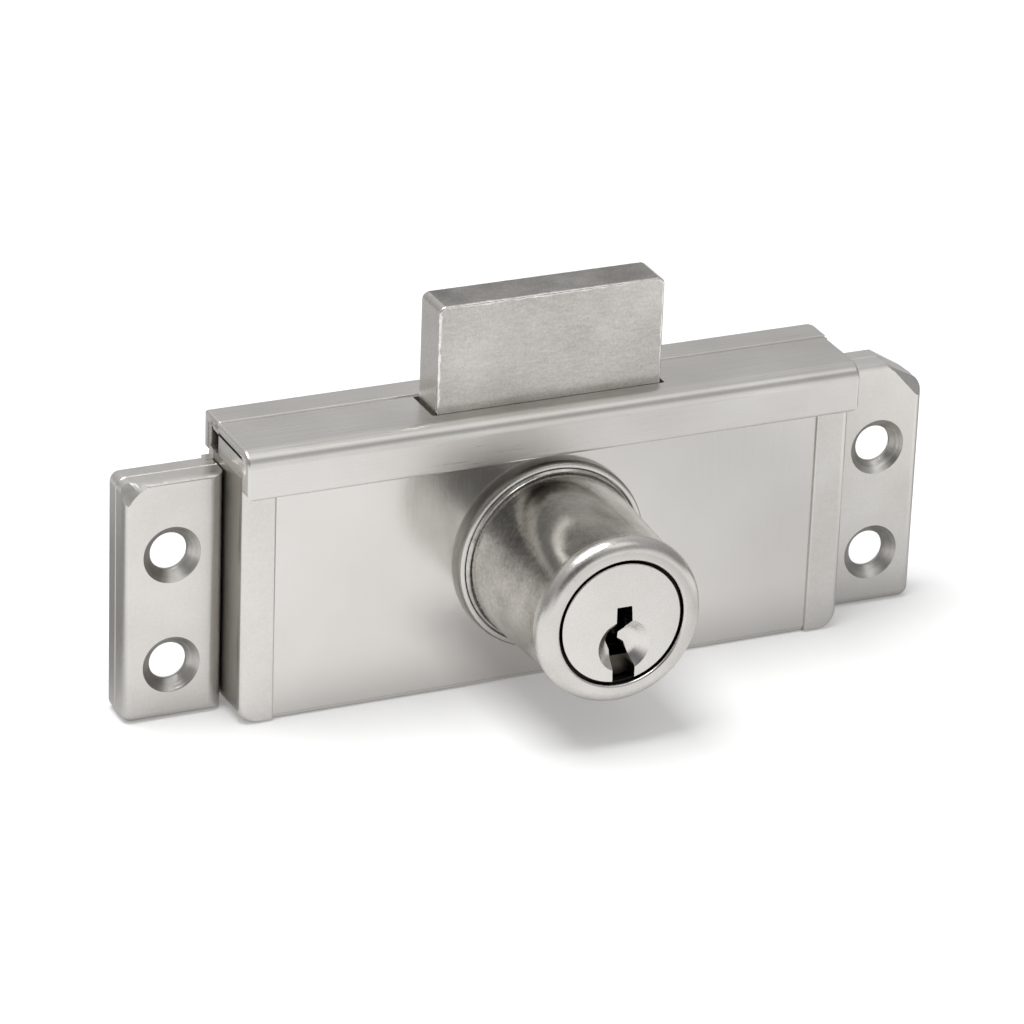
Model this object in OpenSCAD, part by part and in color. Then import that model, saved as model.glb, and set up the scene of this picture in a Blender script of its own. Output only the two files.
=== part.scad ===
// Roller shutter lock with a flat deadbolt and a wafer cylinder.
// The origin is the middle of the four screw holes, on the mounting face behind the ears.
// X runs along the lock, -Y is the front with the keyhole, and the bolt comes out along +Z.
// A value whose name ends in _h is a distance in front of the mounting face.

/* [Case] */
// Width of the case between the ears
case_w = 81.6; // [74:0.2:90]
// Wall of the front casting
wall = 1.6; // [1.2:0.1:2]
// Rise of the side walls above the case's rim, inside the ends of the channel
crest_rise = 1.9; // [1:0.1:2.5]
// Distance by which those walls stand back from the case's sides
crest_step = 0.5; // [0.2:0.1:0.8]
// Back wall of the rear casting
back_wall = 1.5; // [1.2:0.1:1.8]
// Room behind the bolt for the leaf spring and the pinion's screw
back_room = 2.2; // [1.9:0.1:3]
// Width of each side strip on the front
strip_w = 4.6; // [4:0.1:6]
// Width of the ledge under each side of the front panel
ledge_w = 4; // [3.4:0.1:5]
// Thickness of the ledge under the front panel
ledge_t = 1.2; // [1:0.1:1.6]
// Thickness of the inlaid front panel
panel_t = 1.2; // [0.8:0.1:1.6]
// Depth of the panel's face below the side strips
panel_inset = 0.4; // [0.2:0.1:0.6]
// Radius of the case's bottom corners
corner_r = 2.5; // [1:0.1:3.5]
// Radius of the case's upright front edges
front_edge_r = 1; // [0.4:0.1:1.5]

/* [Screw ears] */
// Width of each ear
ear_w = 13.05; // [11.5:0.05:16]
// Thickness of each ear
ear_t = 6; // [5:0.2:8]
// Distance from the top of the lock down to the top of the left ear
ear_drop_left = 5.1; // [4:0.1:8]
// Distance from the top of the lock down to the top of the right ear
ear_drop_right = 3.6; // [3:0.1:6]
// Radius of the ears' long front edges
ear_edge_r = 1.2; // [0.6:0.1:2]
// Width of the corner cut on the right ear
ear_cut_w = 5.6; // [3:0.1:6.5]
// Height of the corner cut on the right ear
ear_cut_h = 3.4; // [2:0.1:5.5]
// Distance over which the corner cut turns down into the ear's end
ear_cut_turn = 1.2; // [0.6:0.1:2]
// Distance from the right ear's top down to the end of the facet in front of the cut
ear_facet_drop = 6.2; // [5:0.1:7.5]
// Radius of the pad that is left at the left ear's top corner
ear_pad_r = 4.4; // [3:0.1:5]
// Distance from the end of an ear to its screw holes
hole_inset = 6.3; // [5:0.1:7.5]
// Distance between the upper and lower screw holes
hole_rise = 14.7; // [12:0.1:16]
// Height of the lower screw holes above the bottom edge
low_hole = 7.3; // [6:0.1:9]
// Diameter of the screw holes
screw_hole_d = 4.8; // [3.5:0.1:5.5]
// Diameter of the countersinks
sink_d = 7.4; // [6.2:0.1:8.6]

/* [Top channel] */
// Distance that the front flange reaches down past the open rim of the case
flange_lap = 2.2; // [1.8:0.1:3]
// Thickness of the front flange
flange_t = 2; // [1.2:0.1:2.5]
// Thickness of the channel's top
top_t = 1.3; // [1:0.1:1.6]
// Radius of the channel's long front edge
top_edge_r = 2; // [1:0.1:2.5]
// Width of the strip of the channel that is left between the bolt's slot and the seam
seam_land = 0.2; // [0.1:0.05:0.5]
// Depth of the lap joint behind the seam
lap_w = 1.8; // [1.2:0.1:2.2]
// Thickness of the lap joint
lap_t = 0.5; // [0.3:0.1:0.8]
// Distance that the channel and the rail stand out past each side of the case
channel_over = 0.1; // [0:0.05:0.2]
// Height of the rear rail above the channel's top
rail_rise = 0.2; // [0.1:0.1:0.4]
// Thickness of the rail's back flange
back_flange_t = 2; // [1.2:0.1:2.5]
// Height of the rail's back flange
back_flange_h = 4.9; // [4.4:0.1:6]
// Depth of the shallow seat for the back flange in the rear casting
flange_seat = 0.1; // [0.05:0.05:0.3]
// Radius of the rail's long back edge
rail_edge_r = 1.4; // [0.6:0.1:1.8]
// Radius of the rail's right back corner, seen from above
rail_corner_r = 2.6; // [1:0.1:4]

/* [Bolt] */
// Width of the bolt
bolt_w = 30; // [27:0.5:34]
// Thickness of the bolt
bolt_t = 5.6; // [5:0.1:7]
// Distance that the bolt stands out of the lock
bolt_out = 14; // [12:0.5:16]
// Depth of the bolt's end below the top when it is drawn in
bolt_sink = 0.14; // [0.1:0.02:0.3]
// Distance that the bolt's legs reach below the cylinder's axis
leg_reach = 1.16; // [0.9:0.02:2]
// Gap between the bolt's window and the top of the pinion when the bolt is drawn in
window_gap = 0.36; // [0.3:0.01:0.8]
// Distance that the window stays below the lock's top
window_land = 0.2; // [0.1:0.05:0.6]
// Radius of the bolt's worn edges
bolt_edge_r = 0.5; // [0.2:0.1:0.8]

/* [Cylinder] */
// Distance that the rim stands out in front of the side strips
barrel_out = 21.5; // [19:0.5:26]
// Diameter of the plug
plug_d = 15.9; // [15:0.1:17]
// Distance from the plug's side in to the side of its face
face_step = 0.2; // [0.1:0.05:0.4]
// Width of the dark gap round the plug's face
mouth_gap = 0.45; // [0.3:0.05:0.6]
// Distance from the plug's side out to the rim's side
rim_w = 2.9; // [2.6:0.1:3.6]
// Thickness of the rim
rim_t = 2.3; // [1.8:0.1:3]
// Distance that the rim stands out from the barrel
rim_step = 0.45; // [0.2:0.05:0.6]
// Distance that the barrel widens from its rim to its foot
barrel_taper = 0.8; // [0.4:0.1:1.2]
// Distance that the foot flange stands out from the barrel
foot_step = 0.45; // [0.2:0.05:0.7]
// Width of the flat ring round the foot
ring_w = 0.9; // [0.7:0.1:1.4]
// Height of the ring in front of the panel
ring_t = 1.5; // [1.2:0.1:2]
// Gap between the ring and the front flange
ring_clear = 1.25; // [0.8:0.05:2]
// Distance from the foot flange in to the spigot that passes through the panel
spigot_step = 2.05; // [1.6:0.05:2.4]
// Diameter of the plug's neck behind the barrel
neck_d = 8; // [7:0.1:8.8]
// Depth of the barrel's rear wall
rear_wall_t = 1.2; // [0.9:0.1:1.5]
// Width of the retaining clip round the neck
clip_w = 1.6; // [1.2:0.1:1.8]
// Thickness of the retaining clip's groove
clip_t = 0.5; // [0.4:0.05:0.7]

/* [Wafers] */
// Number of wafers, one node each
wafers = 6; // [6]
// Thickness of a wafer
wafer_t = 0.8; // [0.6:0.1:1]
// Distance from one wafer to the next
wafer_pitch = 2.4; // [2.1:0.1:2.5]
// Width of a wafer
wafer_w = 8.4; // [8:0.1:8.8]
// Distance that a spring can lift a wafer out of the plug
wafer_lift = 1.2; // [0.8:0.1:1.3]
// Thickness of the plug in front of the first wafer slot
plug_front_t = 2.05; // [1.6:0.05:2.5]
// Wire diameter of a wafer spring
spring_wire = 0.24; // [0.18:0.02:0.3]
// Number of turns of a wafer spring
spring_turns = 5; // [4:1:6]

/* [Drive] */
// Number of teeth on the pinion
gear_teeth = 12; // [12]
// Pressure angle of the teeth in degrees
pressure_angle = 25; // [25]
// Play between the teeth along the pitch line
tooth_play = 0.06; // [0.04:0.01:0.1]
// Width across the flats of the plug's square tail
square_w = 3.8; // [3.4:0.1:4]
// Diameter of the guide pins
pin_d = 3; // [2.4:0.1:3.4]
// Distance between the guide pins
pin_span = 21.2; // [20:0.2:22]
// Diameter of the case screws
case_screw_d = 2.5; // [2:0.1:3]
// Diameter of the channel screws
rail_screw_d = 2; // [1.6:0.1:2.2]
// Diameter of the panel studs
stud_d = 2.4; // [1.8:0.1:2.6]
// Thickness of the leaf spring
leaf_t = 0.3; // [0.2:0.05:0.35]

/* [Clearances] */
// Gap between the case's sides and the ears
seam_gap = 0.15; // [0.1:0.05:0.3]
// Sliding gap between the bolt and what guides it
slide_gap = 0.1; // [0.06:0.02:0.14]
// Gap round the bolt in the channel's slot
slot_gap = 0.5; // [0.3:0.1:0.7]
// Radial gap between the plug and its bore
plug_gap = 0.05; // [0.03:0.01:0.08]
// Gap between inlaid parts that do not move
fit_gap = 0.05; // [0.03:0.01:0.1]

/* [Hidden] */
$fn = 64;

// How far a cut runs past the face that it opens
over = 0.5;

// Rack and pinion: half a turn draws the bolt in
travel = bolt_out + bolt_sink;
pitch_r = travel / PI;
gear_module = 2 * pitch_r / gear_teeth;
gear_out_r = pitch_r + gear_module;
gear_root_r = pitch_r - 1.25 * gear_module;
base_r = pitch_r * cos(pressure_angle);
tooth_pitch = PI * gear_module;
rack_tip_x = pitch_r - gear_module;
rack_root_x = pitch_r + 1.25 * gear_module;
rack_teeth = ceil((travel + gear_out_r) / tooth_pitch) - 1;
// Room above the axis for the pinion, rounded up
gear_room = ceil(gear_out_r / 0.05) * 0.05;

// Radii of the cylinder, from the plug outwards
plug_r = plug_d / 2;
plug_face_r = plug_r - face_step;
bore_r = plug_r + plug_gap;
mouth_r = plug_face_r + mouth_gap;
rim_r = plug_r + rim_w;
barrel_front_r = rim_r - rim_step;
barrel_foot_r = barrel_front_r + barrel_taper;
foot_r = barrel_foot_r + foot_step;
ring_r = foot_r + ring_w;
spigot_r = foot_r - spigot_step;

// Heights, measured from the middle of the screw holes
base_z = -(low_hole + hole_rise / 2);
leg_low_z = base_z + wall + slide_gap + travel;
axis_z = leg_low_z + leg_reach;
window_top_z = axis_z + travel + gear_room + window_gap;
top_z = window_top_z + window_land;
under_z = top_z - top_t;
flange_low_z = axis_z + ring_r + ring_clear;
rim_z = flange_low_z + flange_lap;
rail_top_z = top_z + rail_rise;
back_flange_low_z = rail_top_z - back_flange_h;
bolt_top_z = top_z + bolt_out;

// Layers of the case, in front of the mounting face
bolt_back_h = back_wall + back_room;
bolt_face_h = bolt_back_h + bolt_t;
panel_back_h = bolt_face_h + slide_gap;
panel_face_h = panel_back_h + panel_t;
case_d = panel_face_h + panel_inset;
ledge_h = panel_back_h - ledge_t;
seam_h = bolt_back_h - slot_gap - seam_land;

// Places along the lock
half_w = case_w / 2;
panel_half_w = half_w - strip_w;
channel_half_w = half_w + channel_over;
ear_x = half_w + seam_gap;
end_x = ear_x + ear_w;
hole_x = end_x - hole_inset;
window_left_x = -(gear_out_r + 0.9);

// Guides in the rear casting
guide_x = bolt_w / 2 + slide_gap;
guide_w = 2.5;
guide_lip = 1.6;
guide_low_z = base_z + wall + 0.2;
pin_z = axis_z + 2.5;
pin_slot_w = pin_d + 2 * slide_gap;
stiffener_x = (guide_x + guide_w + panel_half_w - ledge_w) / 2;
stiffener_w = 1.4;

// Cylinder, from its face to the pinion's screw
face_h = case_d + barrel_out;
mouth_depth = 1;
plug_face_h = face_h - 0.2;
seat_h = panel_face_h + 0.4;
rear_wall_h = panel_back_h + 0.8;
plug_back_h = rear_wall_h + rear_wall_t + fit_gap;
neck_back_h = panel_back_h + 0.1;
clip_h = panel_back_h + 0.2;
clip_r = neck_d / 2 + clip_w;
clip_room_r = clip_r + 0.9;
tail_back_h = bolt_back_h + 0.2;
gear_front_h = bolt_face_h - 0.1;
gear_back_h = bolt_back_h + 0.15;
washer_t = 0.4;
gear_screw_r = 1;
gear_screw_head_r = 2.1;
gear_screw_head_t = 1.2;
gear_screw_l = 4.4;

// Wafers: h of each one's front face, and the part of the plug that they take
first_wafer_h = plug_face_h - plug_front_t;
wafer_slot_gap = 0.06;
wafer_r = plug_r - 0.05;
last_wafer_h = first_wafer_h - (wafers - 1) * wafer_pitch - wafer_t;
keyway_back_h = last_wafer_h - 1.2;
groove_r = wafer_r + wafer_lift + 0.25;
lug_x = wafer_w / 2 + 2.1;
lug_z = 1;
lug_t = 1;
pocket_x = wafer_w / 2 + 1.25;
pocket_r = 0.85;
pocket_low_z = -3.2;
spring_r = 0.55;
// Height of each wafer's window, cut to the key
bitting = [0, 0.4, -0.3, 0.6, 0.2, -0.4];

// Fasteners
case_head_d = case_screw_d + 1.9;
rail_head_d = rail_screw_d + 1.4;
screw_slot_w = 0.5;
screw_slot_d = 0.5;
post_r = 2.4;
post_inset = 5;
post_x = half_w - wall - 2;
post_zs = [base_z + post_inset, rim_z - post_inset];
post_top_h = ledge_h + 0.2;
case_screw_tip_h = ledge_h - 1.5;
stud_inset = 1.8;
stud_step = 4.6;
stud_x = panel_half_w - stud_inset;
stud_zs = [post_zs[0] + stud_step, post_zs[1] - stud_step];
stud_head_step = 0.7;
stud_head_r = stud_d / 2 + stud_head_step;
stud_head_t = 0.8;
stud_head_cone = 0.4;
rail_screw_x = 24;
rail_screw_z = back_flange_low_z + rail_head_d / 2;
rail_seat_x = 30;

// Leaf spring, from its middle out to its tips
leaf_rise = 11.5;
leaf_z = axis_z + leaf_rise;
leaf_w = 4;
leaf_inset = 2.6;
leaf_tip = 2;
leaf_tip_drop = 0.5;
leaf_land = 1.8;
leaf_bow_x = bolt_w / 2 - leaf_inset - leaf_tip - leaf_land;
leaf_flat_x = 3.3;
rivet_x = 1.9;
rivet_d = 1.6;
rivet_head_r = 1.4;
rivet_head_t = 0.4;

STEEL = [0.62, 0.61, 0.59];
NICKEL = [0.80, 0.79, 0.77];
BRASS = [0.78, 0.66, 0.38];

// Draws a shape of the X-Z plane and fills it from h0 to h1 in front of the mounting face
module forward(h0, h1) {
    translate([0, -h0, 0]) rotate([90, 0, 0]) linear_extrude(h1 - h0) children();
}

// Draws a shape of the Y-Z plane and fills it from x0 to x1
module sideways(x0, x1) {
    translate([x0, 0, 0]) rotate([90, 0, 90]) linear_extrude(x1 - x0) children();
}

// Draws a shape of the X-Y plane and fills it from z0 to z1
module upward(z0, z1) {
    translate([0, 0, z0]) linear_extrude(z1 - z0) children();
}

// Turns a profile of radius and h about the cylinder's axis
module turned() {
    translate([0, 0, axis_z]) rotate([90, 0, 0]) rotate_extrude($fn = 96) children();
}

// Rectangle between two corners
module plate(low, high) {
    translate(low) square(high - low);
}

// Rectangle with its own radius at each corner, anticlockwise from the low left one
module rounded(low, high, radii) {
    ends = [[low.x, low.y], [high.x, low.y], [high.x, high.y], [low.x, high.y]];
    ways = [[1, 1], [-1, 1], [-1, -1], [1, -1]];
    difference() {
        plate(low, high);
        for (k = [0:3]) if (radii[k] > 0) {
            r = radii[k];
            a = ends[k] - over * ways[k];
            b = ends[k] + r * ways[k];
            difference() {
                polygon([a, [b.x, a.y], b, [a.x, b.y]]);
                translate(b) circle(r);
            }
        }
    }
}

// Hole along Y at x, z, from h0 to h1
module hole(x, z, r, h0, h1) {
    translate([x, -h0, z]) rotate([90, 0, 0]) cylinder(r = r, h = h1 - h0);
}

// Cone along Y at x, z, with radius r0 at h0 and r1 at h1
module cone(x, z, r0, r1, h0, h1) {
    translate([x, -h0, z]) rotate([90, 0, 0]) cylinder(r1 = r0, r2 = r1, h = h1 - h0);
}

// Slot for a screwdriver across a head that faces back at back_h
module driver_slot(x, z, head_r, back_h) {
    forward(back_h - over, back_h + screw_slot_d)
        plate([x - 2 * head_r, z - screw_slot_w / 2], [x + 2 * head_r, z + screw_slot_w / 2]);
}

// Countersunk screw whose head is flush with back_h and whose shank points forward
module sunk_screw(x, z, d, head_d, back_h, tip_h) {
    sink = (head_d - d) / 2;
    difference() {
        union() {
            cone(x, z, head_d / 2, d / 2, back_h, back_h + sink);
            hole(x, z, d / 2, back_h + sink, tip_h);
        }
        driver_slot(x, z, head_d / 2, back_h);
    }
}

// Through hole for such a screw in a wall whose back is at back_h
module sunk_hole(x, z, d, head_d, back_h, front_h) {
    hole(x, z, d / 2, back_h - over, front_h + over);
    cone(x, z, head_d / 2 + over, d / 2, back_h - over, back_h + (head_d - d) / 2);
}

// Block with its three outlines rounded: front view, top view and side view
module cast_block(x0, x1, z0, z1, h0, h1, front_radii, top_radii, side_radii) {
    intersection() {
        forward(h0, h1) rounded([x0, z0], [x1, z1], front_radii);
        upward(z0 - over, z1 + over) rounded([x0, -h1], [x1, -h0], top_radii);
        sideways(x0 - over, x1 + over) rounded([-h1, z0], [-h0, z1], side_radii);
    }
}

module left_ear() {
    z1 = top_z - ear_drop_left;
    step = 1.4;
    pad_x = ear_pad_r + 0.3 - end_x;
    pad_z = z1 - ear_pad_r - 0.3;
    difference() {
        cast_block(-end_x, -ear_x, base_z, z1, 0, ear_t, [1.5, 0, 0, 1.2], [1.5, 0, 0, 1],
            [ear_edge_r, 0, 1, ear_edge_r]);
        difference() {
            forward(ear_t - step, ear_t + over) plate([-end_x - over, pad_z], [pad_x, z1 + over]);
            cone(pad_x, pad_z, ear_pad_r + 2.4, ear_pad_r - 0.8, ear_t - step, ear_t + over);
        }
    }
}

module right_ear() {
    z1 = top_z - ear_drop_right;
    cut_x = end_x - ear_cut_w;
    turn_z = z1 - ear_cut_h * (ear_cut_w - ear_cut_turn) / ear_cut_w;
    slope = atan(ear_facet_drop / ear_cut_w);
    tilt = 40;
    difference() {
        cast_block(ear_x, end_x, base_z, z1, 0, ear_t, [0, 1.5, 0, 0], [0, 1.2, 1, 0],
            [ear_edge_r, 0, 1, 0.6]);
        forward(-over, ear_t + over)
            polygon([[cut_x, z1], [end_x - ear_cut_turn, turn_z], [end_x, turn_z - 1.4 * ear_cut_turn],
                [end_x + 2, turn_z - 1.4 * ear_cut_turn], [end_x + 2, z1 + 2], [cut_x, z1 + 2]]);
        translate([cut_x, -ear_t, z1]) rotate([0, slope, 0]) rotate([-tilt, 0, 0])
            translate([-6, -4, 0]) cube([20, 4, 6]);
    }
}

// Rib that guides one edge of the bolt, with a lip behind the bolt
module bolt_guide(side) {
    inner = side * guide_x;
    outer = side * (guide_x + guide_w);
    lip = side * (guide_x - guide_lip);
    forward(back_wall, bolt_face_h)
        plate([min(inner, outer), guide_low_z], [max(inner, outer), under_z]);
    forward(back_wall, bolt_back_h - slide_gap)
        plate([min(lip, outer), guide_low_z], [max(lip, outer), under_z]);
}

module mounting_base() {
    color(NICKEL)
    difference() {
        union() {
            forward(0, back_wall) plate([-(half_w + 1), base_z], [half_w + 1, rim_z - 1.2]);
            forward(0, back_wall) plate([-half_w, base_z], [half_w, rim_z]);
            forward(0, back_wall) plate([-rail_seat_x, base_z], [rail_seat_x, under_z]);
            left_ear();
            right_ear();
            for (side = [-1, 1]) {
                bolt_guide(side);
                forward(back_wall, ledge_h)
                    plate([side * stiffener_x - stiffener_w / 2, guide_low_z],
                        [side * stiffener_x + stiffener_w / 2, rim_z - 1]);
            }
        }
        for (x = [-hole_x, hole_x], z = [-hole_rise / 2, hole_rise / 2]) {
            hole(x, z, screw_hole_d / 2, -over, ear_t + over);
            cone(x, z, screw_hole_d / 2, sink_d / 2 + over,
                ear_t - (sink_d - screw_hole_d) / 2, ear_t + over);
        }
        for (x = [-post_x, post_x], z = post_zs)
            sunk_hole(x, z, case_screw_d, case_head_d, 0, back_wall);
        for (x = [-rail_screw_x, rail_screw_x])
            hole(x, rail_screw_z, rail_screw_d / 2, -over, back_wall + over);
        forward(-over, flange_seat) plate([-ear_x, back_flange_low_z - fit_gap], [ear_x, top_z]);
        for (x = [-pin_span / 2, pin_span / 2]) hole(x, pin_z, pin_d / 2, -over, back_wall + over);
        for (x = [-rivet_x, rivet_x]) hole(x, leaf_z, rivet_d / 2, -over, back_wall + over);
    }
}

module case_shell() {
    color(NICKEL)
    difference() {
        union() {
            difference() {
                intersection() {
                    forward(back_wall, case_d) rounded([-half_w, base_z], [half_w, rim_z],
                        [corner_r, corner_r, 0, 0]);
                    upward(base_z - over, rim_z + over) rounded([-half_w, -case_d],
                        [half_w, over], [front_edge_r, front_edge_r, 0, 0]);
                }
                forward(panel_back_h, case_d + over)
                    plate([-panel_half_w, base_z - over], [panel_half_w, rim_z + over]);
                forward(ledge_h - over, panel_back_h + over)
                    plate([-(panel_half_w - ledge_w), base_z + wall],
                        [panel_half_w - ledge_w, rim_z + over]);
                forward(back_wall - over, ledge_h)
                    plate([-(half_w - wall), base_z + wall], [half_w - wall, rim_z + over]);
            }
            for (x = [-post_x, post_x], z = post_zs) hole(x, z, post_r, back_wall, post_top_h);
            for (x = [crest_step - half_w, half_w - wall])
                forward(back_wall + 0.1, case_d - 0.4)
                    plate([x, rim_z - 0.5], [x + wall - crest_step, rim_z + crest_rise]);
        }
        for (x = [-post_x, post_x], z = post_zs)
            hole(x, z, case_screw_d / 2, back_wall - over, case_screw_tip_h);
        for (x = [-stud_x, stud_x], z = stud_zs)
            hole(x, z, stud_d / 2, ledge_h - over, panel_back_h + over);
    }
}

module front_panel() {
    color(NICKEL)
    difference() {
        forward(panel_back_h, panel_face_h)
            plate([-(panel_half_w - fit_gap), base_z], [panel_half_w - fit_gap, rim_z]);
        hole(0, axis_z, spigot_r + fit_gap, panel_back_h - over, panel_face_h + over);
        cone(0, axis_z, spigot_r + fit_gap + 0.4 + over, spigot_r + fit_gap,
            panel_back_h - over, panel_back_h + 0.4);
    }
}

module panel_studs() {
    color(STEEL)
    for (x = [-stud_x, stud_x], z = stud_zs) {
        hole(x, z, stud_d / 2, ledge_h, panel_back_h);
        cone(x, z, stud_head_r - stud_head_cone, stud_head_r, ledge_h - stud_head_t, ledge_h);
    }
}

module case_screws() {
    color(STEEL)
    for (x = [-post_x, post_x], z = post_zs)
        sunk_screw(x, z, case_screw_d, case_head_d, 0, case_screw_tip_h);
}

module front_channel() {
    color(NICKEL)
    difference() {
        union() {
            difference() {
                sideways(-channel_half_w, channel_half_w)
                    rounded([-(case_d + flange_t), flange_low_z], [-seam_h, top_z],
                        [0.5, 0, 0, top_edge_r]);
                sideways(-channel_half_w - over, channel_half_w + over)
                    rounded([-case_d, flange_low_z - over], [-seam_h + over, under_z], [0, 0, 0, 0.6]);
            }
            sideways(-channel_half_w, channel_half_w)
                plate([-seam_h, under_z], [-seam_h + lap_w, under_z + lap_t]);
        }
        upward(under_z - over, top_z + over) plate([-(bolt_w / 2 + slot_gap),
            -(bolt_face_h + slide_gap)], [bolt_w / 2 + slot_gap, -(bolt_back_h - slot_gap)]);
    }
}

module rear_rail() {
    color(NICKEL)
    difference() {
        intersection() {
            sideways(-channel_half_w, channel_half_w)
                rounded([-seam_h, back_flange_low_z], [back_flange_t, rail_top_z],
                    [0, 0.5, rail_edge_r, 0]);
            upward(base_z, rail_top_z + over)
                rounded([-channel_half_w, -seam_h], [channel_half_w, back_flange_t],
                    [0, 0, rail_corner_r, 0.8]);
        }
        sideways(-channel_half_w - over, channel_half_w + over)
            plate([-seam_h - over, base_z], [-flange_seat, under_z]);
        sideways(-channel_half_w - over, channel_half_w + over)
            plate([-seam_h - over, under_z - over],
                [-seam_h + lap_w + fit_gap, under_z + lap_t + fit_gap]);
        for (x = [-rail_screw_x, rail_screw_x])
            sunk_hole(x, rail_screw_z, rail_screw_d, rail_head_d, -back_flange_t, 0);
    }
}

module channel_screws() {
    color(STEEL)
    for (x = [-rail_screw_x, rail_screw_x])
        sunk_screw(x, rail_screw_z, rail_screw_d, rail_head_d, -back_flange_t, back_wall);
}

module guide_pins() {
    color(STEEL)
    for (x = [-pin_span / 2, pin_span / 2]) hole(x, pin_z, pin_d / 2, 0, bolt_face_h - 0.2);
}

// Leaf spring: flat in the middle, bowed forward to the back of the bolt's two legs
module rattle_spring() {
    bow_h = bolt_back_h - slide_gap - leaf_t;
    half = [[leaf_flat_x, back_wall], [leaf_bow_x, bow_h], [leaf_bow_x + leaf_land, bow_h],
        [leaf_bow_x + leaf_land + leaf_tip, bow_h - leaf_tip_drop]];
    back = concat([for (k = [3:-1:0]) [-half[k].x, -half[k].y]], [for (p = half) [p.x, -p.y]]);
    color(STEEL)
    difference() {
        upward(leaf_z - leaf_w / 2, leaf_z + leaf_w / 2)
            polygon([each back, for (k = [7:-1:0]) back[k] - [0, leaf_t]]);
        for (x = [-rivet_x, rivet_x]) hole(x, leaf_z, rivet_d / 2, 0, bolt_back_h);
    }
}

module spring_rivets() {
    head_h = back_wall + leaf_t;
    color(STEEL)
    for (x = [-rivet_x, rivet_x]) {
        hole(x, leaf_z, rivet_d / 2, 0, head_h);
        cone(x, leaf_z, rivet_head_r, rivet_head_r - 0.5, head_h, head_h + rivet_head_t);
    }
}

module base_ring() {
    seat_r = spigot_r + 0.85;
    inner = foot_r + 0.1;
    face = panel_face_h + ring_t;
    color(NICKEL)
    turned() polygon([[seat_r, panel_face_h], [ring_r, panel_face_h], [ring_r, face - 0.25],
        [ring_r - 0.2, face], [inner + 0.05, face], [inner, face - 0.1],
        [inner, seat_h - fit_gap], [seat_r, seat_h - fit_gap]]);
}

// Points on an arc about a centre
function arc(centre, r, from, to, steps) =
    [for (k = [0:steps]) let (a = from + (to - from) * k / steps) centre + r * [cos(a), sin(a)]];

module cylinder_barrel() {
    seat_r = spigot_r + 0.8;
    foot_top_h = panel_face_h + ring_t - 0.1;
    edge = 0.8;
    chamfer = 0.25;
    outer = concat(
        [[0, panel_back_h], [spigot_r + 0.4, panel_back_h], [spigot_r, panel_back_h + 0.4],
            [spigot_r, panel_face_h], [seat_r, panel_face_h], [seat_r, seat_h],
            [foot_r, seat_h], [foot_r, foot_top_h]],
        arc([foot_r, foot_top_h + 2 * foot_step], foot_step, 250, 190, 4),
        [[barrel_front_r, face_h - rim_t - 0.35], [rim_r - 0.35, face_h - rim_t]],
        arc([rim_r - edge, face_h - edge], edge, 0, 90, 6),
        [[mouth_r + chamfer, face_h], [mouth_r, face_h - chamfer],
            [mouth_r, face_h - mouth_depth], [0, face_h - mouth_depth]]);
    color(NICKEL)
    difference() {
        turned() polygon(outer);
        hole(0, axis_z, bore_r, rear_wall_h + rear_wall_t, face_h + over);
        hole(0, axis_z, neck_d / 2 + plug_gap, panel_back_h, rear_wall_h + rear_wall_t + over);
        hole(0, axis_z, clip_room_r, panel_back_h - over, rear_wall_h);
        forward(last_wafer_h - 0.5, first_wafer_h + 0.4)
            plate([-(wafer_w / 2 + 0.3), axis_z - groove_r], [wafer_w / 2 + 0.3, axis_z + groove_r]);
    }
}

// Outline of the keyway with its bends, from its top down past the plug's edge
module keyway_outline() {
    polygon([[-0.65, 2.1], [1.29, 2.1], [1.44, 0.05], [0.85, -1.3], [0.15, -1.74], [0.1, -2.5],
        [0.92, -3.1], [1.98, -6], [2, -9], [-0.84, -9], [-1, -3.9], [-1.71, -2.3], [-1.46, -1.2],
        [-0.64, 0]]);
}

module plug() {
    neck_r = neck_d / 2;
    groove = neck_r - 0.6;
    shoulder_h = face_h - mouth_depth - 0.1;
    chamfer = 0.35;
    dimple_x = 0.45;
    dimple_z = axis_z - 3.1;
    color(NICKEL)
    difference() {
        union() {
            turned() polygon([[0, neck_back_h], [neck_r, neck_back_h], [neck_r, clip_h],
                [groove, clip_h], [groove, clip_h + clip_t], [neck_r, clip_h + clip_t],
                [neck_r, plug_back_h], [plug_r, plug_back_h], [plug_r, shoulder_h],
                [plug_face_r, shoulder_h], [plug_face_r, plug_face_h - chamfer],
                [plug_face_r - chamfer, plug_face_h], [0, plug_face_h]]);
            forward(tail_back_h, neck_back_h + 0.1) plate([-square_w / 2, axis_z - square_w / 2],
                [square_w / 2, axis_z + square_w / 2]);
        }
        forward(keyway_back_h, face_h + over) translate([0, axis_z]) keyway_outline();
        cone(dimple_x, dimple_z, 0.1, 3.4, plug_face_h - 0.7, plug_face_h + 0.02);
        hole(0, axis_z, gear_screw_r, tail_back_h - over, tail_back_h + gear_screw_l + 0.1);
        for (k = [0:wafers - 1]) wafer_cut(first_wafer_h - k * wafer_pitch);
    }
}

// Slot, lug way and spring pocket of one wafer, whose front face is at h
module wafer_cut(h) {
    side = wafer_w / 2 + wafer_slot_gap;
    forward(h - wafer_t - wafer_slot_gap, h + wafer_slot_gap) {
        plate([-side, axis_z - plug_d], [side, axis_z + plug_d]);
        plate([0, axis_z + lug_z - 0.1], [lug_x + 0.1, axis_z + lug_z + lug_t + wafer_lift + 0.15]);
    }
    translate([pocket_x, -(h - wafer_t / 2), axis_z + pocket_low_z])
        cylinder(r = pocket_r, h = lug_z - pocket_low_z, $fn = 24);
}

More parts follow.
